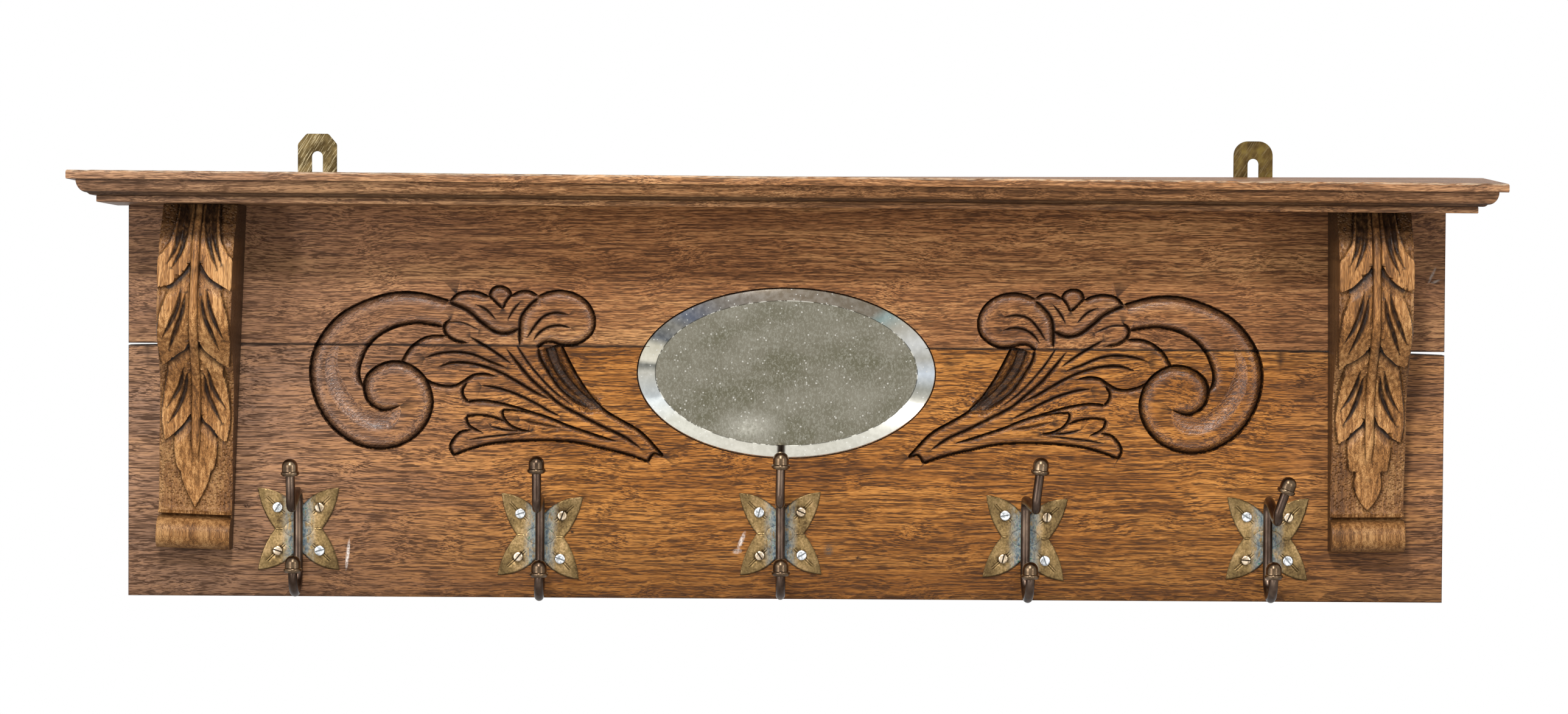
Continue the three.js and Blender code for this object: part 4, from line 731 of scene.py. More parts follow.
# Lines of one scroll: out from the mirror's centre line, up from the mirror's centre. A lobe lies to the
# right of an edge as it runs, and the flat board to its left. With each: its depth, how far it rises to
# the left and right, and the fades of its ends.
SCROLL = [
    # the great C and its eye
    ([(280, 58.5), (303, 64.5), (325, 65), (347, 59), (368, 48.5), (384, 32), (394, 10.5),
      (394.5, -10.5), (388, -31), (374, -50), (352.5, -62.5), (331.5, -64.5), (312, -57.5), (298.5, -43),
      (293.5, -25.5), (299, -7), (309.5, 3.5), (323, 8), (337.5, 5), (348.5, -4.5), (350.5, -16),
      (346, -27), (335.5, -33), (327, -31.5), (320, -28.5)], 4.6, 1.1, 11.0, (2, 14)),
    ([(285.5, 37), (308, 39.5), (328, 35), (344.5, 23.5), (353, 7), (354.5, -3.5), (351.5, -13.5)],
      4.2, 8.0, 1.1, (3, 6)),
    ([(372, 24), (377, 8), (374, -10), (366, -25), (355, -35.5), (342, -41.5), (331, -40), (320.5, -30)],
      2.8, 8.0, 6.5, (40, 14), "soft"),
    # bud and the leaves beside it
    ([(247, 62), (253.5, 65), (262.5, 66.5), (273, 64.5), (279.5, 58)], 3.6, 0.9, 6.0, (2, 2)),
    ([(228, 64), (231, 68.5), (237.5, 71), (244, 69), (247, 63)], 3.4, 0.9, 6.5, (1, 1)),
    ([(206.5, 63.5), (214, 67), (222, 66.5), (228, 63)], 3.4, 0.9, 6.0, (2, 2)),
    ([(247, 63), (242, 58), (235.5, 52)], 2.8, 0.9, 3.6, (1, 2)),
    ([(235.5, 52), (232, 59), (228, 64)], 2.8, 0.9, 3.6, (2, 1)),
    ([(257.5, 55.5), (249.5, 51.5), (241.5, 43.5)], 2.2, 1.9, 1.9, (7, 7)),
    ([(221, 58), (226.5, 51.5), (231.5, 43)], 2.2, 1.9, 1.9, (7, 7)),
    ([(279.5, 57), (265, 50.5), (252.5, 40), (242, 33), (232, 31.5), (221.5, 36)], 3.8, 2.4, 8.0, (2, 5)),
    # the round lobe over the trumpet
    ([(206.5, 19.5), (202, 23.5), (194.5, 24.5), (187.5, 22.5), (178, 22), (168.5, 25.5), (160.5, 33.5),
      (159, 45), (164.5, 57), (175.5, 65), (188, 67.5), (198.5, 66), (206.5, 62.5)],
      3.8, 0.9, 8.5, (3, 3)),
    ([(206.5, 61), (214, 54.5), (220, 46), (221.5, 36), (221.5, 22.5)], 3.4, 2.0, 9.0, (3, 6)),
    ([(215, 28.5), (209, 38), (201.5, 46), (192, 49), (180, 47.5)], 2.4, 1.9, 2.1, (8, 10)),
    ([(210, 26.5), (204, 33.5), (196.5, 37.5), (188, 38.5), (179, 36.5)], 2.4, 1.9, 2.1, (8, 10)),
    # the trumpet and the long stem
    ([(101.5, -69.5), (120.5, -49.5), (136.5, -40), (150, -32), (160.5, -22), (169.5, -9.5), (177, 3),
      (186.5, 21.5)], 3.8, 0.9, 4.0, (2, 2)),
    ([(206, 19.5), (204.5, 12), (198, 0.5), (188.5, -13), (177, -22.5), (165, -29)],
      3.2, 3.2, 6.0, (3, 8)),
    ([(196, 21), (190.5, 5.5), (179, -11), (165, -24.5), (152, -32)], 5.2, 8.5, 7.5, (1, 14), "dark"),
    ([(199.5, 20), (194, 5), (183.5, -10), (170, -22.5)], 3.9, 1.1, 1.1, (2, 9)),
    ([(193, 20), (187, 4), (175, -12.5), (161, -25.5)], 3.9, 1.1, 1.1, (2, 9)),
    ([(232, 18.5), (221.5, 5), (210.5, -7.5), (199, -17.5), (187.5, -27), (170, -36.5), (152, -45.5),
      (134, -54), (120, -63.5)], 2.9, 3.2, 3.2, (14, 14)),
    ([(224, 22), (214, 7), (203, -6), (192, -17), (178, -27.5)], 1.7, 2.2, 2.2, (8, 16)),
    ([(114.5, -74.5), (110, -68), (101.5, -69.5)], 3.0, 0.9, 3.4, (1, 1)),
    # the leaves that sweep back to the eye
    ([(319.5, 8), (312.5, 19), (303, 26.5), (293.5, 29.5), (283, 29.5)], 3.6, 6.0, 0.9, (2, 3)),
    ([(279, 43.5), (284, 38), (283, 31.5), (275, 25.5), (264.5, 23.5)], 3.2, 1.2, 4.5, (5, 6)),
    ([(282, 41), (269.5, 40.5), (255, 34.5)], 1.2, 1.6, 1.6, (2, 8)),
    ([(263, 29), (255.5, 24.5), (245.5, 18.5), (236, 12), (229, 7)], 2.6, 2.2, 2.2, (8, 9)),
    ([(300.5, 11), (289, 14.5), (274.5, 16), (260, 14), (245.5, 8), (232, 3)], 2.6, 2.0, 2.3, (11, 9)),
    ([(289, 3.5), (277.5, 7), (265, 7), (250.5, 4), (236, -1.5), (221.5, -9.5), (207, -18),
      (197, -22.5)], 3.0, 2.2, 2.8, (12, 14)),
    ([(240.5, -4), (250.5, -2), (260, -3), (267, -7.5), (274.5, -11.5), (284, -12), (294, -9.5),
      (299.5, -6)], 3.4, 0.9, 4.5, (9, 3)),
    ([(253, -11.5), (240.5, -13.5), (226, -18), (211.5, -24.5), (197, -32.5), (187.5, -37)],
      2.6, 1.9, 2.4, (10, 12)),
    ([(265, -9.5), (268.5, -15.5), (267.5, -21), (264, -25)], 3.4, 3.6, 0.9, (3, 1)),
    ([(264, -25), (253, -24), (240.5, -25.5), (226, -29), (211.5, -33.5), (197, -38), (182.5, -44),
      (168, -49), (152.5, -54), (140, -57.5)], 3.2, 3.8, 0.9, (1, 14)),
    ([(235.5, -32), (223, -32.5), (206.5, -35.5)], 2.4, 0.9, 2.6, (1, 12)),
    ([(235.5, -32), (234.5, -37.5), (230, -43.5), (221, -48), (211.5, -49.5)], 3.0, 3.4, 0.9, (1, 6)),
    ([(265.5, -37.5), (255, -36.5), (243.5, -38), (233.5, -41.5)], 2.8, 0.9, 3.4, (1, 7)),
    ([(265.5, -37.5), (263.5, -44), (259, -47.5), (252, -50.5)], 3.0, 3.4, 0.9, (1, 6)),
    ([(261.5, -48.5), (270.5, -50.5), (277, -57.5), (279, -63.5), (276, -70)], 3.2, 0.9, 3.8, (4, 1)),
    ([(276, -70), (264.5, -65.5), (249, -61), (230.5, -58.5), (211.5, -57.5), (192, -57.5), (172.5, -59),
      (155, -63), (141.5, -66), (128.5, -69.5), (114.5, -74.5)], 3.4, 0.9, 4.2, (1, 1)),
    ([(245.5, -45.5), (233.5, -48.5), (221, -49.5)], 1.8, 1.9, 1.9, (6, 6)),
    ([(221, -39.5), (206.5, -43), (187.5, -46.5)], 1.6, 1.5, 1.5, (8, 10)),
    ([(264.5, -57), (245, -54), (216.5, -51)], 1.5, 1.6, 1.6, (8, 14)),
]


def scroll_cuts(side, bottom, top):
    """The scroll's cuts on one side, kept to a board between two heights."""
    cuts = []
    for points, deep, left, right, fade, *kind in SCROLL:
        placed_at = [(side * u, MIRROR_Z + v) for u, v in points]
        wider = 1.3 if max(left, right) < 5 else 1.12
        left, right = (left, right)[::side]
        cut = Cut(placed_at, 1.15 * deep, left * wider, right * wider, fade, scoop=bool(kind))
        cut.kind = kind[0] if kind else "edge"
        if cut.line[:, 1].max() > bottom - 10 and cut.line[:, 1].min() < top + 10:
            cuts.append(cut)
    return cuts


# ------------------------------------------------------------------ the two boards

def joint(x):
    return JOINT_Z - JOINT_FALL * x / BACK_HALF


def lower_top(x):
    """The lower board's top edge: tight to the joint, and open beyond the brackets."""
    gap = (GAP_RIGHT if x > 0 else GAP_LEFT) - 0.15
    return joint(x) + GAP_MIDDLE - 0.15 - gap * (abs(x) / BACK_HALF) ** 9


def twist(x, out):
    """How far the shelf's twist lifts a point."""
    return SHELF_TWIST * (x / SHELF_HALF) * (1 - 2 * out / SHELF_DEPTH)


def edge_xs():
    """Where an edge has its points: close together under the carving, wide apart elsewhere."""
    fine, wide = np.arange(98, 398.5, 1.0), np.arange(404, 545, 12)
    ends = [-BACK_HALF, BACK_HALF, 542.0, -545.0, 545.0]
    return np.sort(np.concatenate([fine, -fine, np.arange(-90, 91, 15), wide, -wide, ends]))


def board(bottom, top, is_lower):
    """One board of the back, with its share of the scrolls and of the mirror's recess."""
    xs = edge_xs()
    low, high = np.array([bottom(x) for x in xs]), np.array([top(x) for x in xs])
    plain = np.arange(-BACK_HALF, BACK_HALF + 1, 26)
    edge_low = [(x, bottom(x)) for x in (plain if is_lower else xs)]
    edge_high = [(x, top(x)) for x in (xs if is_lower else plain)]

    def up_end(x, shares):
        return [(x, bottom(x) + t * (top(x) - bottom(x))) for t in shares]

    across = np.linspace(0, 1, 6)[1:-1]
    outline = edge_low + up_end(BACK_HALF, across) + edge_high[::-1] + up_end(-BACK_HALF, across[::-1])

    def inside(p):
        tops, lows = (np.interp(p[:, 0], xs, edge) for edge in (high, low))
        return (np.abs(p[:, 0]) < BACK_HALF - 0.2) & (p[:, 1] > lows + 0.3) & (p[:, 1] < tops - 0.3)

    cuts = scroll_cuts(-1, low.min(), high.max()) + scroll_cuts(1, low.min(), high.max())
    spare = []
    for inset in (0.3, 0.7, 1.4):
        spare += [(x, z + inset) for x, z in edge_low] + [(x, z - inset) for x, z in edge_high]
        for x in (-BACK_HALF + inset, BACK_HALF - inset):
            spare += up_end(x, np.linspace(0.01, 0.99, 60))
    spare += [(x, z) for x in np.arange(-530, 531, 20) for z in np.arange(-155, 160, 20)]
    # The arc of the mirror's recess that lies on this board.
    a, b = MIRROR_W / 2 + MIRROR_PLAY, MIRROR_H / 2 + MIRROR_PLAY
    angles = np.arange(180) * 2 * math.pi / 180
    room = np.stack([a * np.cos(angles), MIRROR_Z + b * np.sin(angles)], axis=1)
    arc = room[inside(room)]
    start = np.argmax(np.linalg.norm(np.diff(np.vstack([arc, arc[:1]]), axis=0), axis=1)) + 1
    flat, faces = sheet(outline, [np.roll(arc, -start, axis=0)], cuts, inside, spare)

    depths = [cut.depth(flat) for cut in cuts]
    edges, dark = (
        merged([depth for cut, depth in zip(cuts, depths) if cut.kind == kind]) for kind in ("edge", "dark")
    )
    ink = np.max([cut.ink for cut in cuts if cut.kind == "edge"], axis=0)
    above, below = (np.interp(flat[:, 0], xs, high) - flat[:, 1], flat[:, 1] - np.interp(flat[:, 0], xs, low))
    ends = BACK_HALF - np.abs(flat[:, 0])
    rim = np.minimum(ends, below) if is_lower else ends
    worn = 0.3 * np.clip(1 - rim / 0.5, 0, 1) ** 2
    foot = 0.95 * ink + 0.3 * np.clip(edges / 3, 0, 1) ** 1.3 + np.clip(dark / 6.5, 0, 1)
    seam = np.clip(1.9 - (above if is_lower else below) / 0.6, 0, 1)
    marks = {
        "carved": np.clip(foot, 0, 1) + seam + 0.5 * np.clip(1 - rim / 0.9, 0, 1),
        "worked": np.clip(merged(depths) / 0.6, 0, 1),
    }
    middles = flat[faces].mean(axis=1)
    sunk = (middles[:, 0] / a) ** 2 + ((middles[:, 1] - MIRROR_Z) / b) ** 2 < 1
    points = np.stack([flat[:, 0], FACE + merged(depths) + worn, flat[:, 1]], axis=1)

    def lift(x, z):
        """The upper board's top edge follows the twisted shelf to the wall."""
        return twist(x, 0) - twist(x, 18) if not is_lower and z > 158 else 0.0

    return block(points, faces, marks, 0.0, lift, sunk, FACE + MIRROR_SET_BACK + MIRROR_THICK + SEAT)


lower = piece_of("lower_board", board(lambda x: BACK_BOTTOM, lower_top, True), OAK_LOWER)
upper = board(lambda x: joint(x) + GAP_MIDDLE, lambda x: UNDERSIDE + twist(x, 18) - 0.06, False)
upper = piece_of("upper_board", upper, OAK_UPPER)
stands_for(lower, "oak_board", "board_lower")
stands_for(upper, "oak_board", "board_upper")


# ------------------------------------------------------------------ the brackets

# The leaf's surface: heights above the roll's underside, and distance from the board's face.
LEAF_PROFILE = [
    (300, 62), (290, 68), (276.5, 75), (257, 88), (219.5, 90.5), (185.5, 86.5), (153.5, 60), (136.5, 47),
    (110.5, 39.5), (90.5, 36.5), (63, 28), (38, 23), (29, 21.6),
]
# Half of the leaf's outline: distance from the middle and height.
LEAF_EDGE = [
    [(15, 300), (17, 274), (20.5, 256), (26, 246), (31.6, 241)],
    [(31.6, 241), (31.6, 215)],
    [(23.2, 218.4), (21.8, 213), (25.5, 201), (28.6, 188), (29.6, 170), (27.3, 151.5)],
    [(21.6, 155), (22, 149), (25.2, 135), (27.6, 118), (27.8, 104), (25.3, 89.5)],
]
LEAF_TIPS = {  # the lowest leaf of the left bracket and of the right one
    -1: [(17.6, 94), (17.6, 84), (16.6, 75), (15.2, 68), (11.9, 63.6), (11.6, 60), (8.4, 51), (4.3, 42.6),
         (0, 34.5)],
    1: [(17.6, 94), (17.6, 84), (16.4, 74), (15.2, 67.5), (10.2, 66.6), (10.8, 60), (11, 54), (8.5, 46),
        (4.4, 39.5), (0, 34.5)],
}
# Cuts on one half: points, depth, reach to the left and right of the way it runs, fades. The first three
# are the tiers' edges, which are steep above the line and hollow below it; the others are veins.
LEAF_CUTS = [
    ([(4.0, 238.5), (7, 232.5), (12, 226.5), (20, 219.5), (31.5, 214.6)], 3.8, 0.7, 9.5, (3, 4)),
    ([(4.0, 172.5), (7.5, 166.5), (13, 161.5), (20, 156), (28, 151)], 3.6, 0.7, 9.0, (3, 4)),
    ([(4.0, 112), (7, 106), (11.5, 101), (18, 94.5), (26, 89)], 3.4, 0.7, 8.0, (3, 4)),
    ([(8.2, 290), (8.8, 270), (11.5, 250), (18.5, 232.5)], 2.6, 1.9, 2.4, (2, 20)),
    ([(13.2, 290), (13.6, 270), (16, 252), (22, 236.5)], 2.6, 2.0, 2.2, (2, 20)),
    ([(6.6, 212), (9, 197), (14, 181), (20.5, 165.5)], 2.5, 1.9, 2.2, (16, 20)),
    ([(10.5, 216), (13.4, 201), (18.5, 187), (25, 174.5)], 2.5, 1.9, 2.1, (16, 20)),
    ([(6.8, 146), (9.2, 131), (15, 116.5), (21.8, 105)], 2.5, 2.0, 2.3, (16, 18)),
    ([(9.8, 151), (13, 136), (18.5, 125.5), (24.2, 117)], 2.3, 1.8, 2.0, (16, 18)),
]
STEM_HALF = ((300, 3.1), (180, 3.9), (90, 4.0), (72.5, 2.2))  # height, half width
NAILS = {-1: [(0.2, 58.5, 1.5)], 1: [(0.2, 58.5, 1.5), (8.0, 244.5, 0.8)]}  # aside, height, radius


def leaf_face(side):
    """A bracket's front as a sheet drawn over (w, -run), where run follows the S-shaped front down."""
    profile = [(out, z) for z, out in smooth_line(LEAF_PROFILE, 2.0)[0] if z > LEAF_FOOT + 0.9]
    foot_out = profile[-1][0]
    profile += [(foot_out - 0.3, LEAF_FOOT + 0.7), (foot_out - 1.6, LEAF_FOOT + 0.3)]
    profile += [(ROLL_GROOVE_OUT, LEAF_FOOT - 0.3), (ROLL_GROOVE_OUT, 2 * ROLL_R + 0.3)]
    profile += [(ROLL_OUT - 1.5, 2 * ROLL_R + 0.02)]
    for i in range(29):
        angle = math.pi * (0.5 - i / 28)
        drop = 0.01 * i / 28
        profile.append((ROLL_OUT + ROLL_R * math.cos(angle), ROLL_R + (ROLL_R - drop) * math.sin(angle)))
    profile = np.array(profile)
    run = np.concatenate([[0], np.cumsum(np.linalg.norm(np.diff(profile, axis=0), axis=1))])
    in_leaf = profile[:, 1] > LEAF_FOOT + 1

    def run_of(z):
        return np.interp(-np.asarray(z), -profile[in_leaf][:, 1], run[in_leaf])

    def drawn(points, flip):
        """Points of the drawing laid on the sheet."""
        p = np.array(points, float)
        return np.stack([flip * p[:, 0], -run_of(p[:, 1])], axis=1)

    half, last = BRACKET_HALF, -run[-1]
    step = np.concatenate([run[:-1][np.diff(run) > 0.05], run[-1:]])
    ys = np.unique(np.concatenate([-step[::2], -run[~in_leaf], [0.0, last]]))[::-1]
    xs = np.linspace(-half, half, 15)
    outline = [(x, 0.0) for x in xs] + [(half, y) for y in ys[1:]] + [(x, last) for x in xs[::-1][1:]]
    outline = (outline + [(-half, y) for y in ys[::-1][1:-1]])[::-1]

    def inside(p):
        return (np.abs(p[:, 0]) < half - 0.25) & (p[:, 1] < -0.3) & (p[:, 1] > last + 0.3)

    cuts, edges = [], []
    for flip in (-1, 1):
        for points, deep, left, right, fade in LEAF_CUTS:
            by_hand = random.Random(int(points[0][1] * 7) + flip + 3 * side)
            moved = [
                (w + by_hand.uniform(-0.5, 0.5) * (i > 0), z + by_hand.uniform(-1.2, 1.2))
                for i, (w, z) in enumerate(points)
            ]
            wider = 1.35 if min(left, right) >= 1 else 1.0
            left, right = (wider * left, wider * right)[::flip]
            cuts.append(Cut(drawn(moved, flip), deep, left, right, fade, 1.1, True))
        for points in LEAF_EDGE + [LEAF_TIPS[side]]:
            edges.append(smooth_line(drawn(points, flip), 1.3)[0])
    one = np.vstack(edges[len(edges) // 2 :])
    ring = np.vstack([one, (one * [-1, 1])[::-1]])
    rims = [edge for edge in (edge[inside(edge)] for edge in edges) if len(edge) > 1]

    stem_foot = -run_of(STEM_HALF[-1][0])
    stem_z, stem_w = np.array(STEM_HALF, float).T

    def stem_half(y):
        return np.interp(-np.interp(-y, run, profile[:, 1]), -stem_z, stem_w)

    y = np.arange(-0.4, stem_foot, -2.0)
    stem = [np.stack([share * stem_half(y), y], axis=1) for share in (-1.0, -0.8, -0.45, 0.0, 0.45, 0.8, 1.0)]
    spare = [edge + aside_of(direction(edge)) * out for edge in rims for out in (-1.0, 1.0, 2.2, -2.2)]
    grid_x, grid_y = np.linspace(-half + 2.6, half - 2.6, 20), np.arange(-3, last, -3.2)
    spare.append([(x, y) for x in grid_x for y in grid_y])
    spare.append([(s * (half - d), y) for s in (-1, 1) for d in (0.35, 1.0) for y in ys])
    flat, faces = sheet(outline, rims + stem, cuts, inside, np.vstack(spare), 0.8)

    leaf = inside_of(flat, ring)
    points = np.vstack(rims)
    away = np.concatenate([
        np.sqrt(((flat[start : start + 2000, None, :] - points[None]) ** 2).sum(2)).min(1)
        for start in range(0, len(flat), 2000)
    ])
    down = -flat[:, 1]
    on_leaf = down < run_of(LEAF_FOOT + 2)
    ground = np.where(leaf, 0.0, GROUND * np.clip(away, 0, 1))
    ground *= np.clip((run_of(LEAF_FOOT + 1.5) - down) / 1.5, 0, 1)
    rounded = np.where(leaf, 0.9 * np.clip(1 - away / 2.4, 0, 1) ** 2, 0.0) * on_leaf
    depths = [cut.depth(flat) for cut in cuts]
    tiers = merged([depth for cut, depth in zip(cuts, depths) if min(cut.left, cut.right) < 1])
    veins = merged([depth for cut, depth in zip(cuts, depths) if min(cut.left, cut.right) >= 1])
    stem_here = stem_half(flat[:, 1])
    t = np.abs(flat[:, 0]) / stem_here
    on_stem = (t <= 1.001) & (flat[:, 1] > stem_foot)
    bead = (2.6 * np.sqrt(np.clip(1 - t**2, 0, 1)) - 1.1) * np.clip((flat[:, 1] - stem_foot) / 9.0, 0, 1)
    cut_depth = merged(depths) * np.where(leaf | (away < 0.3), 1.0, 0.25) * ~on_stem
    worn = 0.7 * np.clip(1 - (half - np.abs(flat[:, 0])) / 1.2, 0, 1) ** 2
    depth = ground + rounded + cut_depth - np.where(on_stem, bead, 0.0) + worn
    nail = np.zeros(len(flat))
    for w, z, radius in NAILS[side]:
        nail = np.maximum(nail, np.clip(1.6 - np.hypot(flat[:, 0] - w, run_of(z) - down) / radius, 0, 1))
    normal = np.gradient(profile, run, axis=0)
    out_n, up_n = np.interp(down, run, -normal[:, 1]), np.interp(down, run, normal[:, 0])
    length = np.hypot(out_n, up_n)
    plain_z = np.interp(down, run, profile[:, 1])
    out = np.interp(down, run, profile[:, 0]) - depth * out_n / length * np.where(on_leaf, 1.0, 0.55)
    z = plain_z - depth * up_n / length * np.where(on_leaf, 1.0, 0.0)
    marks = {
        "carved": np.where(leaf, np.clip(tiers / 3.9, 0, 1) ** 2 * 0.8 + np.clip(veins / 2.2, 0, 1) * 0.95, 0)
        + 0.9 * np.where(leaf & ~on_stem, np.max([cut.ink for cut in cuts], axis=0), 0)
        + 0.75 * np.clip((z - 253) / 7, 0, 1)  # the shade of the shelf
        + 0.34 * (z < 2 * ROLL_R)
        + 0.75 * np.where(leaf, 0, np.clip(1 - away / 2.4, 0, 1)) * on_leaf
        + 0.5 * np.clip(1 - np.abs(t - 1) * stem_here / 0.9, 0, 1) * (flat[:, 1] > stem_foot)
        + 0.9 * np.clip(1 - np.abs(plain_z - LEAF_FOOT + 1.2) / 2.4, 0, 1)  # the groove over the roll
        + nail,
        "ground": np.where(leaf, 0, 1) * np.clip(away / 2, 0, 1) * on_leaf,
        "worked": 0.35 * leaf * np.clip(cut_depth, 0, 1) + 0.12 * leaf,
    }
    points = np.stack([flat[:, 0], FACE - out, z], axis=1)
    return points, faces, {key: np.clip(value, 0, 1) for key, value in marks.items()}


for name, (side, lean, foot) in BRACKETS.items():
    # Made upright over its own foot, then leant and put in its place.
    # Painted shade darkens the walls where they meet the board, more on the side towards the middle.
    bm = block(*leaf_face(side), FACE - SEAT, wall_shade=lambda x: 0.95 if x * side < 0 else 0.5)
    low = BACK_BOTTOM + foot
    base_x = side * (BRACKET_SPACING / 2 + (UNDERSIDE - low) * math.tan(math.radians(lean)))
    bm.transform(Matrix.Translation((base_x, 0, low)) @ Matrix.Rotation(math.radians(-side * lean), 4, "Y"))
    # Cut to the shelf's underside.
    middle = side * BRACKET_SPACING / 2
    a, b, c = (
        Vector((x, -out, UNDERSIDE + twist(x, out) - SEAT))
        for x, out in ((middle - 30, 60), (middle + 30, 60), (middle, 120))
    )
    up = (b - a).cross(c - a)
    bmesh.ops.bisect_plane(
        bm, geom=bm.verts[:] + bm.edges[:] + bm.faces[:], plane_co=a - Vector((0, 0, 0.08)),
        plane_no=up if up.z > 0 else -up, clear_outer=True,
    )
    close_up(bm)
    stands_for(piece_of("carved_bracket_" + name, bm, OAK_BRACKET, 38.0), "oak_carved", "bracket_" + name)


# ------------------------------------------------------------------ the shelf

# The moulded edge from the underside to the top: set back from the edge, and height.
HOLLOW = [math.pi * i / 28 for i in range(13, -1, -1)]
SHELF_EDGE = [
    (42, 0), (22.6, 0), (22.05, 0.15), (21.8, 0.6), (21.8, 4.7), (21.95, 5.2), (22.3, 5.4), (18.6, 5.5),
    (17.2, 5.75), (16.1, 6.5), (15.2, 7.3),
    *((15.2 - 8.2 * math.cos(angle), 17.9 - 10.5 * math.sin(angle)) for angle in HOLLOW),
    (6.6, 17.9), (0.5, 17.95), (0.1, 18.3), (0.0, 19.1), (0.0, 23.4), (0.15, 24.3), (0.5, 24.85),
    (1.1, 25.15), (2.0, 25.2), (30, 25.2),
]


def make_shelf():
    """Mitred rings round the two ends and the front, with dents along the worn upper edge."""
    wear = random.Random(5)
    bumps = [(wear.uniform(-580, 580), wear.uniform(2, 9), wear.uniform(0.1, 0.6)) for _ in range(90)]
    bumps += [(-566, 6, 1.0), (-40, 5, 0.9), (245, 4, 0.8), (575, 7, 1.1), (-330, 3, 0.7)]
    ends = np.linspace(0, 1, 14)[:-1]
    bm = bmesh.new()
    carved, bare = bm.verts.layers.float.new("carved"), bm.verts.layers.float.new("bare")
    rings = []
    for inset, height in SHELF_EDGE:
        half, front = SHELF_HALF - inset, SHELF_DEPTH - inset
        path = [(-half, t * front) for t in ends] + [(x * half, front) for x in np.linspace(-1, 1, 240)]
        path += [(half, t * front) for t in ends[::-1]]
        upper_edge = max(0.0, 1 - abs(height - 24.6) / 1.6) * (inset < 3)
        # Dirt and painted shade darken the step under the hollow, the foot of the top lip and the lower
        # fillet's face.
        dirt = 0.7 * (5.0 <= height <= 8.0) + 0.45 * (abs(height - 17.9) < 0.3) * (inset > 3)
        dirt += 0.28 * (height < 5.0) * (inset < 22.2)
        ring = []
        for x, out in path:
            dent = sum(deep * max(0.0, 1 - abs(x - at) / wide) for at, wide, deep in bumps)
            lost = min(dent * upper_edge, 1.0)
            worn = max(0.0, out - lost) if out >= front - 1e-6 else out
            ring.append(bm.verts.new((x, -worn, UNDERSIDE + height + twist(x, out) - lost * 0.8)))
            ring[-1][carved], ring[-1][bare] = dirt, 0.5 * (24 < height and inset < 1.5)
        rings.append(ring)
    for low, high in zip(rings, rings[1:]):
        for a, b, c, d in zip(low, low[1:], high[1:], high):
            bm.faces.new((a, b, c, d))
    # The first and the last ring are closed to the wall with strips.
    for ring in (rings[0], rings[-1]):
        front_row, back_row = ring[13:-13], []
        for x, y, z in [vert.co for vert in front_row]:
            back_row.append(bm.verts.new((x, 0.0, z + twist(x, 0) - twist(x, -y))))
        for a, b, c, d in zip(front_row, front_row[1:], back_row[1:], back_row):
            bm.faces.new((a, b, c, d))
        bm.faces.new(ring[:14] + back_row[:1])
        bm.faces.new(ring[:-15:-1] + back_row[-1:])
    bmesh.ops.remove_doubles(bm, verts=bm.verts, dist=1e-4)
    close_up(bm)
    return piece_of("moulded_shelf", bm, OAK_SHELF, 30.0)


# ------------------------------------------------------------------ the hanging plates

def hanger_outline(x, rise, rounded, grow=0.0):
    """Anticlockwise from the foot, with its two upper corners cut across or rounded."""
    half, top = HANGER_W / 2 + grow, SHELF_TOP + rise + grow
    foot = top - HANGER_H - 2 * grow
    if rounded:
        angles = np.linspace(0, math.pi / 2, 13)
        corner = [(12.0 * (1 - math.cos(angle)), 12.0 * (1 - math.sin(angle))) for angle in angles]
    else:
        corner = [(0, 9.6), (0.5, 8.0), (6.4, 1.0), (7.8, 0)]
    right = [(x + half - dx, top - dz) for dx, dz in corner]
    left = [(x - half + dx, top - dz) for dx, dz in corner[::-1]]
    return [(x - half, foot), (x + half, foot)] + right + left


def prism(outline, near, far):
    """A closed block between two depths from an outline that runs anticlockwise seen from the front."""
    count = len(outline)
    verts = [(x, near, z) for x, z in outline] + [(x, far, z) for x, z in outline]
    faces = [tuple(range(count)), tuple(range(2 * count - 1, count - 1, -1))]
    for i in range(count):
        j = (i + 1) % count
        faces.append((j, i, count + i, count + j))
    return verts, faces


shelf = make_shelf()
hanger_room = [prism(hanger_outline(*place, SEAT), -(HANGER_T + 2 * SEAT), 1.0) for place in HANGERS.values()]
cut_away(shelf, hanger_room)
cut_away(upper, hanger_room)
stands_for(shelf, "oak_board", "shelf")

for name, (x, rise, rounded) in HANGERS.items():
    top = SHELF_TOP + rise
    slot = []
    for i in range(32):
        angle = math.pi * i / 16
        middle = top - (19.1 if i <= 16 else 46.1)
        slot.append((x + 4.5 * math.cos(angle), middle + 4.5 * math.sin(angle)))
    bm = bmesh.new()
    edges = []
    for loop in (hanger_outline(x, rise, rounded), slot):
        ring = [bm.verts.new((px, -SEAT - HANGER_T, pz)) for px, pz in loop]
        edges += [bm.edges.new(pair) for pair in zip(ring, ring[1:] + ring[:1])]
    bmesh.ops.triangle_fill(bm, use_beauty=True, edges=edges, normal=(0, -1, 0))
    made = bmesh.ops.extrude_face_region(bm, geom=bm.faces[:])["geom"]
    behind = [item for item in made if isinstance(item, bmesh.types.BMVert)]
    bmesh.ops.translate(bm, verts=behind, vec=(0, HANGER_T, 0))
    bmesh.ops.recalc_face_normals(bm, faces=bm.faces)
    rims = [edge for edge in bm.edges if len(edge.link_faces) == 2 and edge.calc_face_angle(0) > 1.0]
    bmesh.ops.bevel(bm, geom=rims, offset=0.3, segments=2, affect="EDGES", clamp_overlap=True)
    piece = piece_of("hanging_plate_" + name, bm, HANGER_RIGHT if rounded else HANGER_LEFT)
    # Two countersunk holes.
    verts, faces = turned([(0, -4), (2.6, -4), (2.6, -2.0), (4.5, 0.0), (4.5, 2), (0, 2)], 24)
    cut_away(piece, [
        ([(u + x, w - SEAT, v + top - HANGER_H + up) for u, v, w in verts], [face[::-1] for face in faces])
        for up in (9, 31)
    ])
    stands_for(piece, "hanger_brass", f"hanger_{name}_plate")


# ------------------------------------------------------------------ the mirror

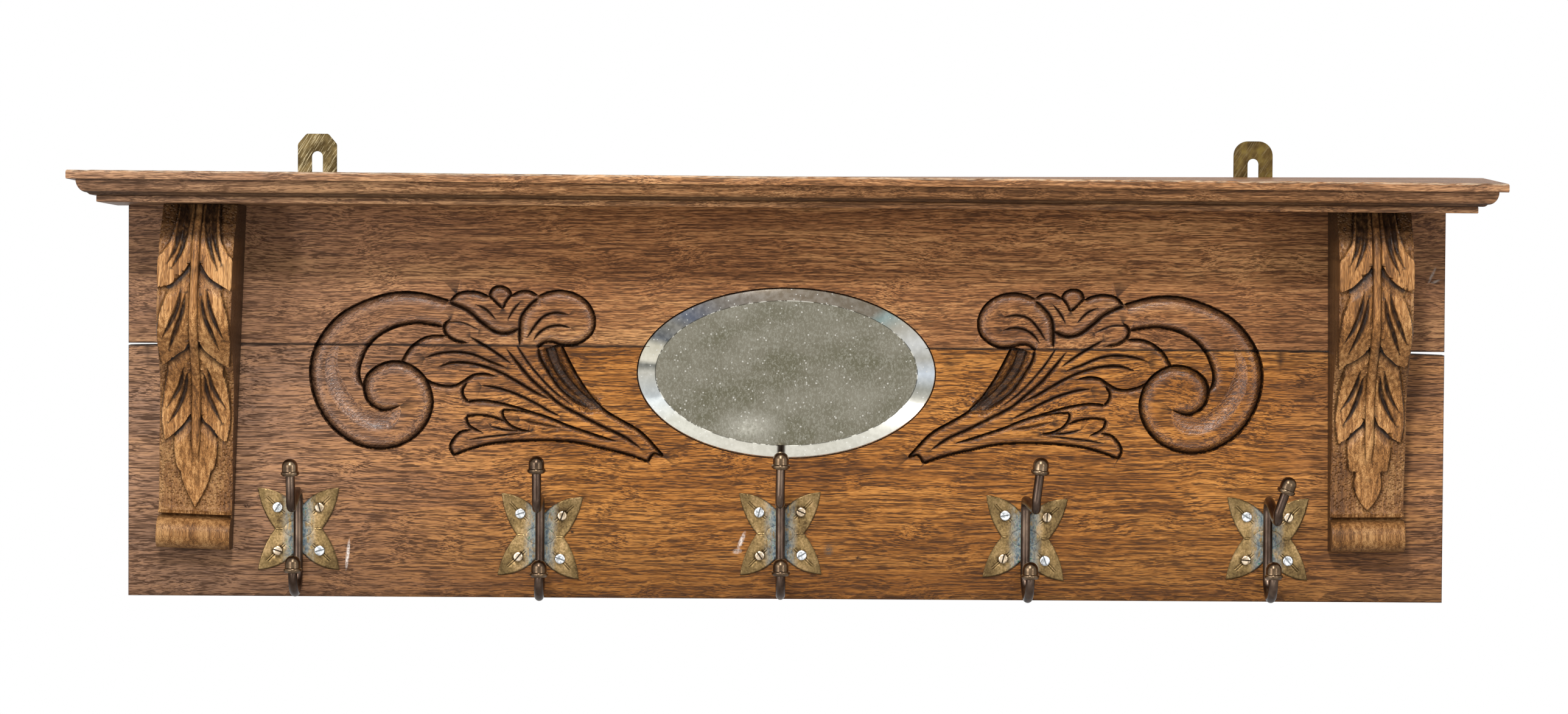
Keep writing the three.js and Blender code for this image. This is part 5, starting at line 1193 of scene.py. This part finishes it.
def make_mirror():
    back, count = FACE + MIRROR_SET_BACK + MIRROR_THICK, 240
    # Rings from the back over the ground edge and the bevel: set in at the sides, at the top, height.
    rings = [(0.6, 0.6, 0.0), (0.0, 0.0, 0.5), (0.0, 0.0, MIRROR_RIM - 0.3), (0.3, 0.3, MIRROR_RIM)]
    for share in (0.25, 0.5, 0.75, 0.93, 0.985, 1.015):
        height = MIRROR_RIM + (MIRROR_THICK - MIRROR_RIM) * min(share, 1)
        rings.append((BEVEL_SIDE * share, BEVEL_TOP * share, height))
    around = [(math.cos(2 * math.pi * i / count), math.sin(2 * math.pi * i / count)) for i in range(count)]
    verts = [
        ((MIRROR_W / 2 - side) * cos, back - height, MIRROR_Z + (MIRROR_H / 2 - upward) * sin)
        for side, upward, height in rings for cos, sin in around
    ]
    inner = verts[-count:]
    for share in (0.75, 0.5, 0.25):
        verts += [(x * share, y, MIRROR_Z + (z - MIRROR_Z) * share) for x, y, z in inner]
    faces, slots = [], []
    steps = [(i, (i + 1) % count) for i in range(count)]
    for band, slot in enumerate([2] * 2 + [1] * 7 + [0] * 3):
        a, b = band * count, (band + 1) * count
        faces += [(a + i, a + j, b + j, b + i) for i, j in steps]
        slots += [slot] * count
    middle = len(verts)
    verts += [(0, back - MIRROR_THICK, MIRROR_Z), (0, back, MIRROR_Z)]
    for i, j in steps:
        faces += [(middle - count + i, middle - count + j, middle), (j, i, middle + 1)]
        slots += [0, 2]
    mesh = mesh_of("bevelled_oval_mirror", verts, [], faces)
    piece = dressed("bevelled_oval_mirror", mesh, (SILVERING, BEVEL, GLASS_EDGE), 2.0)
    mesh.polygons.foreach_set("material_index", slots)
    mark(mesh, "inner", [8 * count <= i < 10 * count for i in range(len(verts))])
    stands_for(piece, "mirror", "mirror_glass")


make_mirror()


# ------------------------------------------------------------------ the hooks

def hook_x(number):
    return (number - 2) * HOOK_SPACING + HOOKS[number][0]


def on_plate(number, x, z):
    """A point of a plate, as it stands turned on the board: across and up."""
    _, height, turn, *_ = HOOKS[number]
    cos, sin = math.cos(math.radians(turn)), math.sin(math.radians(turn))
    return hook_x(number) + x * cos - z * sin, BACK_BOTTOM + height + x * sin + z * cos


def bezier(a, b, c, t):
    return (1 - t) ** 2 * a + 2 * t * (1 - t) * b + t**2 * c


def butterfly():
    """The plate's outline: four pointed wings with a narrow waist and a notch above and below."""
    quarter = [(bezier(3.2, 14.2, 33.8, i / 14), bezier(19.6, 33.2, 34.2, i / 14)) for i in range(15)]
    quarter += [(bezier(33.8, 31.4, 19.6, i / 16), bezier(34.2, 15.4, 0.0, i / 16)) for i in range(1, 17)]
    right = quarter + [(x, -z) for x, z in quarter[::-1][1:]]
    return np.array(right + [(-x, z) for x, z in right[::-1]])[::-1]


def pressed_plate():
    """A pressed plate with lines struck into it and a worn rim."""
    outline = butterfly()
    cuts = []
    for sx in (-1, 1):
        for sz in (-1, 1):
            for off in (-0.595, 0.595):
                line = [(sx * (x + off), sz * (z - off)) for x, z in ((26.6, 27), (19, 19.6), (11.2, 12.5))]
                cuts.append(Cut(line, 0.35, 0.55, 0.55, (1, 1), 1.0))
        for off in (-0.9, 0.9):
            line = [(sx * 19.2, off * 0.6), (sx * 16, off), (sx * 12.9, off * 0.5)]
            cuts.append(Cut(line, 0.35, 0.5, 0.5, (1, 1), 0.9))
    ring = [(12 * math.cos(a), 7.2 * math.sin(a)) for a in np.linspace(0, 2 * math.pi, 41)]
    cuts.append(Cut(ring, 0.22, 0.6, 0.6, (0.01, 0.01), 1.0))

    def inside(p):
        return inside_of(p, outline) & (distance_to(p, outline) > 0.3)

    way = np.roll(outline, -1, axis=0) - np.roll(outline, 1, axis=0)
    aside = aside_of(way / np.linalg.norm(way, axis=1)[:, None])
    spare = [outline - aside * pull for pull in (0.5, -0.5, 1.3, -1.3)]
    spare.append([(x, z) for x in np.arange(-32, 33, 2.6) for z in np.arange(-33, 34, 2.6)])
    flat, faces = sheet(outline, [], cuts, inside, np.vstack(spare), 0.5)
    faces = faces[inside_of(flat[faces].mean(axis=1), outline)]
    depth, edge = merged([cut.depth(flat) for cut in cuts]), distance_to(flat, outline)
    # Dirt lies round the screws' heads.
    rings = np.zeros(len(flat))
    for sx, sz in ((-1, 1), (1, 1), (-1, -1), (1, -1)):
        gap = np.hypot(flat[:, 0] - sx * SCREW_X, flat[:, 1] - sz * SCREW_Z)
        ring = np.clip(1.5 - np.abs(gap - HEAD_R) / 0.7, 0, 1)
        rings = np.maximum(rings, ring * (0.9 if sx == sz else 0.5))
    marks = {
        "carved": 0.8 * np.clip(depth / 0.3, 0, 1) + 0.9 * np.clip(1.5 - edge / 0.7, 0, 1) + rings,
        "damp": np.clip(1.6 - np.abs(flat[:, 0]) / 9.0, 0, 1),
        "tip": np.clip((np.hypot(flat[:, 0], flat[:, 1]) - 24) / 16, 0, 1),
    }
    front = -PLATE_THICK + depth * 0.9 + 0.3 * np.clip(1 - edge / 0.45, 0, 1)
    points = np.stack([flat[:, 0], front, flat[:, 1]], axis=1)
    return piece_of("pressed_plate", block(points, faces, marks, 0.0), PLATE_BRASS)


def rod_line(number):
    """The rod's middle line, from the end in the lower cap to the end in the upper cap."""
    _, height, _, droop, shorter, foot_aside, cap_aside, sag, lower_aside = HOOKS[number]
    spine, bend = SEAT + PLATE_THICK + SEAT + ROD_R, -32.1 - sag
    radius, low = (LOWER_REACH - spine) / 2, 28 - droop
    arch_end, turn_start = spine + 9, UPPER_REACH - 8
    points = [(lower_aside, LOWER_REACH, bend + 1.0)]
    for i in range(33):  # the lower bend
        angle = math.pi * i / 32
        out = spine + radius + radius * math.cos(angle)
        points.append((lower_aside * (1 - i / 32), out, bend - 16 * math.sin(angle)))
    for i in range(17):  # the arch over the plate
        angle = math.pi - math.pi / 2 * i / 16
        points.append((0, arch_end + 9 * math.cos(angle), 23 + 9 * math.sin(angle)))
    for i in range(1, 12):  # the drooping arm
        t = i / 12
        ease = t * t * (3 - 2 * t)
        points.append((foot_aside * t, arch_end + (turn_start - arch_end) * t, 32 + (low - 32) * ease))
    for i in range(17):  # the turn upwards
        angle = math.pi / 2 * i / 16
        points.append((foot_aside, turn_start + 8 * math.sin(angle), low + 8 * (1 - math.cos(angle))))
    points.append((cap_aside, UPPER_REACH, low + 28.8 - shorter))
    return [(hook_x(number) + aside, FACE - out, BACK_BOTTOM + height + up) for aside, out, up in points]


def turned_cap():
    """A turned cap: a collar on the rod, a flared rim with a step, and a dome drawn up to a blunt point."""
    profile = [
        (0, 0), (5.4, 0), (6.1, 0.12), (6.5, 0.5), (6.9, 0.9), (7.4, 1.3), (7.6, 1.9), (7.6, 2.9), (7.4, 3.4),
        (6.9, 3.7), (6.55, 4.0), (6.5, 4.6), (6.5, 5.6), (6.5, 8.05),
    ]
    for i in range(1, 15):
        angle = math.pi / 2 * i / 15
        profile.append((6.5 * math.cos(angle), 8.05 + 6.35 * math.sin(angle)))
    verts, faces = turned(profile + [(0, 14.4)], 40)
    return dressed("turned_cap", mesh_of("turned_cap", verts, [], faces), [CAP_BRONZE])


def slotted_screw(radius, finish):
    """A flat-topped screw head with a cut slot, its seat at z = 0, head upwards."""
    profile = [(0, -12), (1.0, -10.5), (1.7, -9), (1.7, 0), (radius - 0.3, 0), (radius, 0.3), (radius, 1.2)]
    profile += [(radius - 0.12, 1.5), (radius - 0.45, 1.8), (radius - 1.1, 2.0), (radius - 2.2, HEAD_H)]
    verts, faces = turned(profile + [(0, HEAD_H)], 36)
    piece = dressed("one_screw", mesh_of("one_screw", verts, [], faces), [finish])
    low, high = HEAD_H - 1.1, HEAD_H + 2
    cut_away(piece, [prism([(-9, low), (9, low), (9, high), (-9, high)], -0.6, 0.6)])
    mesh = piece.data
    corners = [vert.co for vert in mesh.vertices]
    mark(mesh, "carved", [
        abs(co.y) < 0.62 * MM and 0 < co.z < (HEAD_H - 0.9) * MM and co.xy.length > MM for co in corners
    ])
    smooth(mesh, 30)
    return piece


source = pressed_plate()
places = []
for number in range(5):
    x, z = on_plate(number, 0, 0)
    places.append(((x, FACE - SEAT, z), (0, -math.radians(HOOKS[number][2]), 0)))
plates = copied("butterfly_plates", source, PLATE_BRASS, places)
bpy.data.objects.remove(source)
stands_for(plates, "plate_brass", *[f"hook_{n}_plate" for n in range(1, 6)])

rod_lines = [rod_line(number) for number in range(5)]
verts, edges = [], []
for line in rod_lines:
    edges += [(len(verts) + i, len(verts) + i + 1) for i in range(len(line) - 1)]
    verts += line
rods = mesh_of("rod_lines", verts, edges, [])
rods = grown("bent_rods", rods, BAR_TREE, 60.0, Radius=ROD_R * MM, Sides=32, Finish=ROD_BRONZE)
stands_for(rods, "bronze", *[f"hook_{n}_rod" for n in range(1, 6)])

places = {"lower": [], "upper": []}
for line in rod_lines:
    places["lower"].append((Vector(line[0]) + Vector((0, 0, SEAT)), (0.0, 0.0, 0.0)))
    axis = (Vector(line[-1]) - Vector(line[-2])).normalized()
    places["upper"].append((Vector(line[-1]) + axis * SEAT, axis.to_track_quat("Z", "Y").to_euler()))
source = turned_cap()
for name in places:
    caps = copied(f"turned_caps_{name}", source, CAP_BRONZE, places[name])
    stands_for(caps, "bronze", *[f"hook_{n}_cap_{name}" for n in range(1, 6)])
bpy.data.objects.remove(source)

SCREW_TURNS = {  # as they stand on the five plates, in degrees from level
    "upper_left": (58, 18, 75, 10, -30),
    "upper_right": (-75, 70, -25, 88, 65),
    "lower_left": (-18, 50, -55, 75, -5),
    "lower_right": (15, -20, 30, -70, -50),
}
for kind, corners, radius, finish, slot in (
    ("zinc", ("upper_left", "lower_right"), HEAD_R, ZINC, "zinc"),
    ("brass", ("upper_right", "lower_left"), HEAD_R - 0.3, SCREW_BRASS, "screw_brass"),
):
    source, places, nodes = slotted_screw(radius, finish), [], []
    for number in range(5):
        for corner in corners:
            x, z = on_plate(
                number, SCREW_X if corner.endswith("right") else -SCREW_X,
                SCREW_Z if corner.startswith("upper") else -SCREW_Z,
            )
            spin = Matrix.Rotation(math.radians(SCREW_TURNS[corner][number]), 3, "Z")
            turn = (Matrix.Rotation(math.radians(90), 3, "X") @ spin).to_euler()
            places.append(((x, FACE - PLATE_THICK - 2 * SEAT, z), turn))
            nodes.append(f"hook_{number + 1}_screw_{corner}")
    screws = copied(f"slotted_screws_{kind}", source, finish, places, 30.0)
    bpy.data.objects.remove(source)
    stands_for(screws, slot, *nodes)


# ------------------------------------------------------------------ camera, light and room

def look(location, pitch, roll):
    """The camera, as it stood for the photograph."""
    data = bpy.data.cameras.new("camera")
    data.sensor_width, data.lens, data.clip_end = 36.0, 113.5, 50
    turn = Euler((math.radians(90 - pitch), 0, 0)).to_matrix() @ Matrix.Rotation(math.radians(roll), 3, "Z")
    made = placed("camera", data)
    made.matrix_world = Matrix.Translation(location) @ turn.to_4x4()
    bpy.context.scene.camera = made


def lamp(name, at, towards, size, power):
    """A rectangular lamp; its size is in metres, across and up, and its power in watts."""
    data = bpy.data.lights.new(name, "AREA")
    data.shape, data.energy = "RECTANGLE", power
    data.size, data.size_y = size
    made = placed(name, data)
    made.location = at
    made.rotation_euler = (Vector(towards) - Vector(at)).to_track_quat("-Z", "Y").to_euler()


look((-0.002, -4.118, 0.188), 2.09, 0.33)
lamp("key_in_front", (-0.35, -3.5, 2.2), (0, 0, 0), (0.45, 0.35), 96)
lamp("overhead", (-0.2, -2.5, 3.0), (0, 0, 0), (0.7, 0.5), 40)
lamp("beside_the_camera", (-2.3, -3.6, 0.35), (-0.3, 0, 0), (0.5, 1.4), 40)
lamp("window_on_the_left", (-2.9, -2.6, 0.3), (0, 0, 0), (0.6, 1.3), 16)
lamp("window_on_the_right", (2.5, -3.3, 0.35), (0, 0, 0), (0.5, 1.4), 28)
lamp("glint_on_the_bevel", (0.62, -1.84, -0.6), (0.1, 0, 0), (0.3, 0.2), 1.2)

# The room is bright where the camera sees it, and dim where it only lights.
world = bpy.data.worlds.new("room")
bpy.context.scene.world = world
world.use_nodes = True
world.node_tree.nodes.clear()
n = partial(add, world.node_tree)
rays = n("ShaderNodeLightPath").outputs
seen = n("larger", rays["Is Camera Ray"], rays["Is Transmission Ray"])
seen = n("larger", seen, n("times", rays["Is Glossy Ray"], 0.9))
strength = n("plus", n("times", seen, 0.74), 0.26)
room = n("ShaderNodeBackground", Color=(1, 1, 1, 1), Strength=strength).outputs[0]
n("ShaderNodeOutputWorld", Surface=room)

floor_finish, n, space = material("pale_floor")
rays = n("ShaderNodeLightPath").outputs
seen = n("larger", rays["Is Camera Ray"], n("larger", rays["Is Glossy Ray"], rays["Is Transmission Ray"]))
tone = n("noise", n("laid", space, per(300, 300, 300)), 2.0, 0.5)
tone = n("ramp", tone, stops=((0.3, "#f2f2f2"), (0.7, "#f7f7f7")))
n("surface", n("shader", n("mix", seen, "#8f8f8d", tone), 0.8))
corners = [(-3000, -3000, -700), (3000, -3000, -700), (3000, 2200, -700), (-3000, 2200, -700)]
floor_mesh = mesh_of("floor", corners, [], [(0, 1, 2, 3)])
floor_mesh.materials.append(floor_finish)
floor_mesh.polygons[0].use_smooth = True
placed("floor", floor_mesh)

bpy.context.scene.view_settings.view_transform = "Standard"

# The screws that only the CAD model has take their metals too.
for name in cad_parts:
    if "screw" in name:
        metals = bpy.data.objects[name].data.materials
        metals.clear()
        metals.append(SCREW_BRASS if name.startswith("hanger") else STEEL)
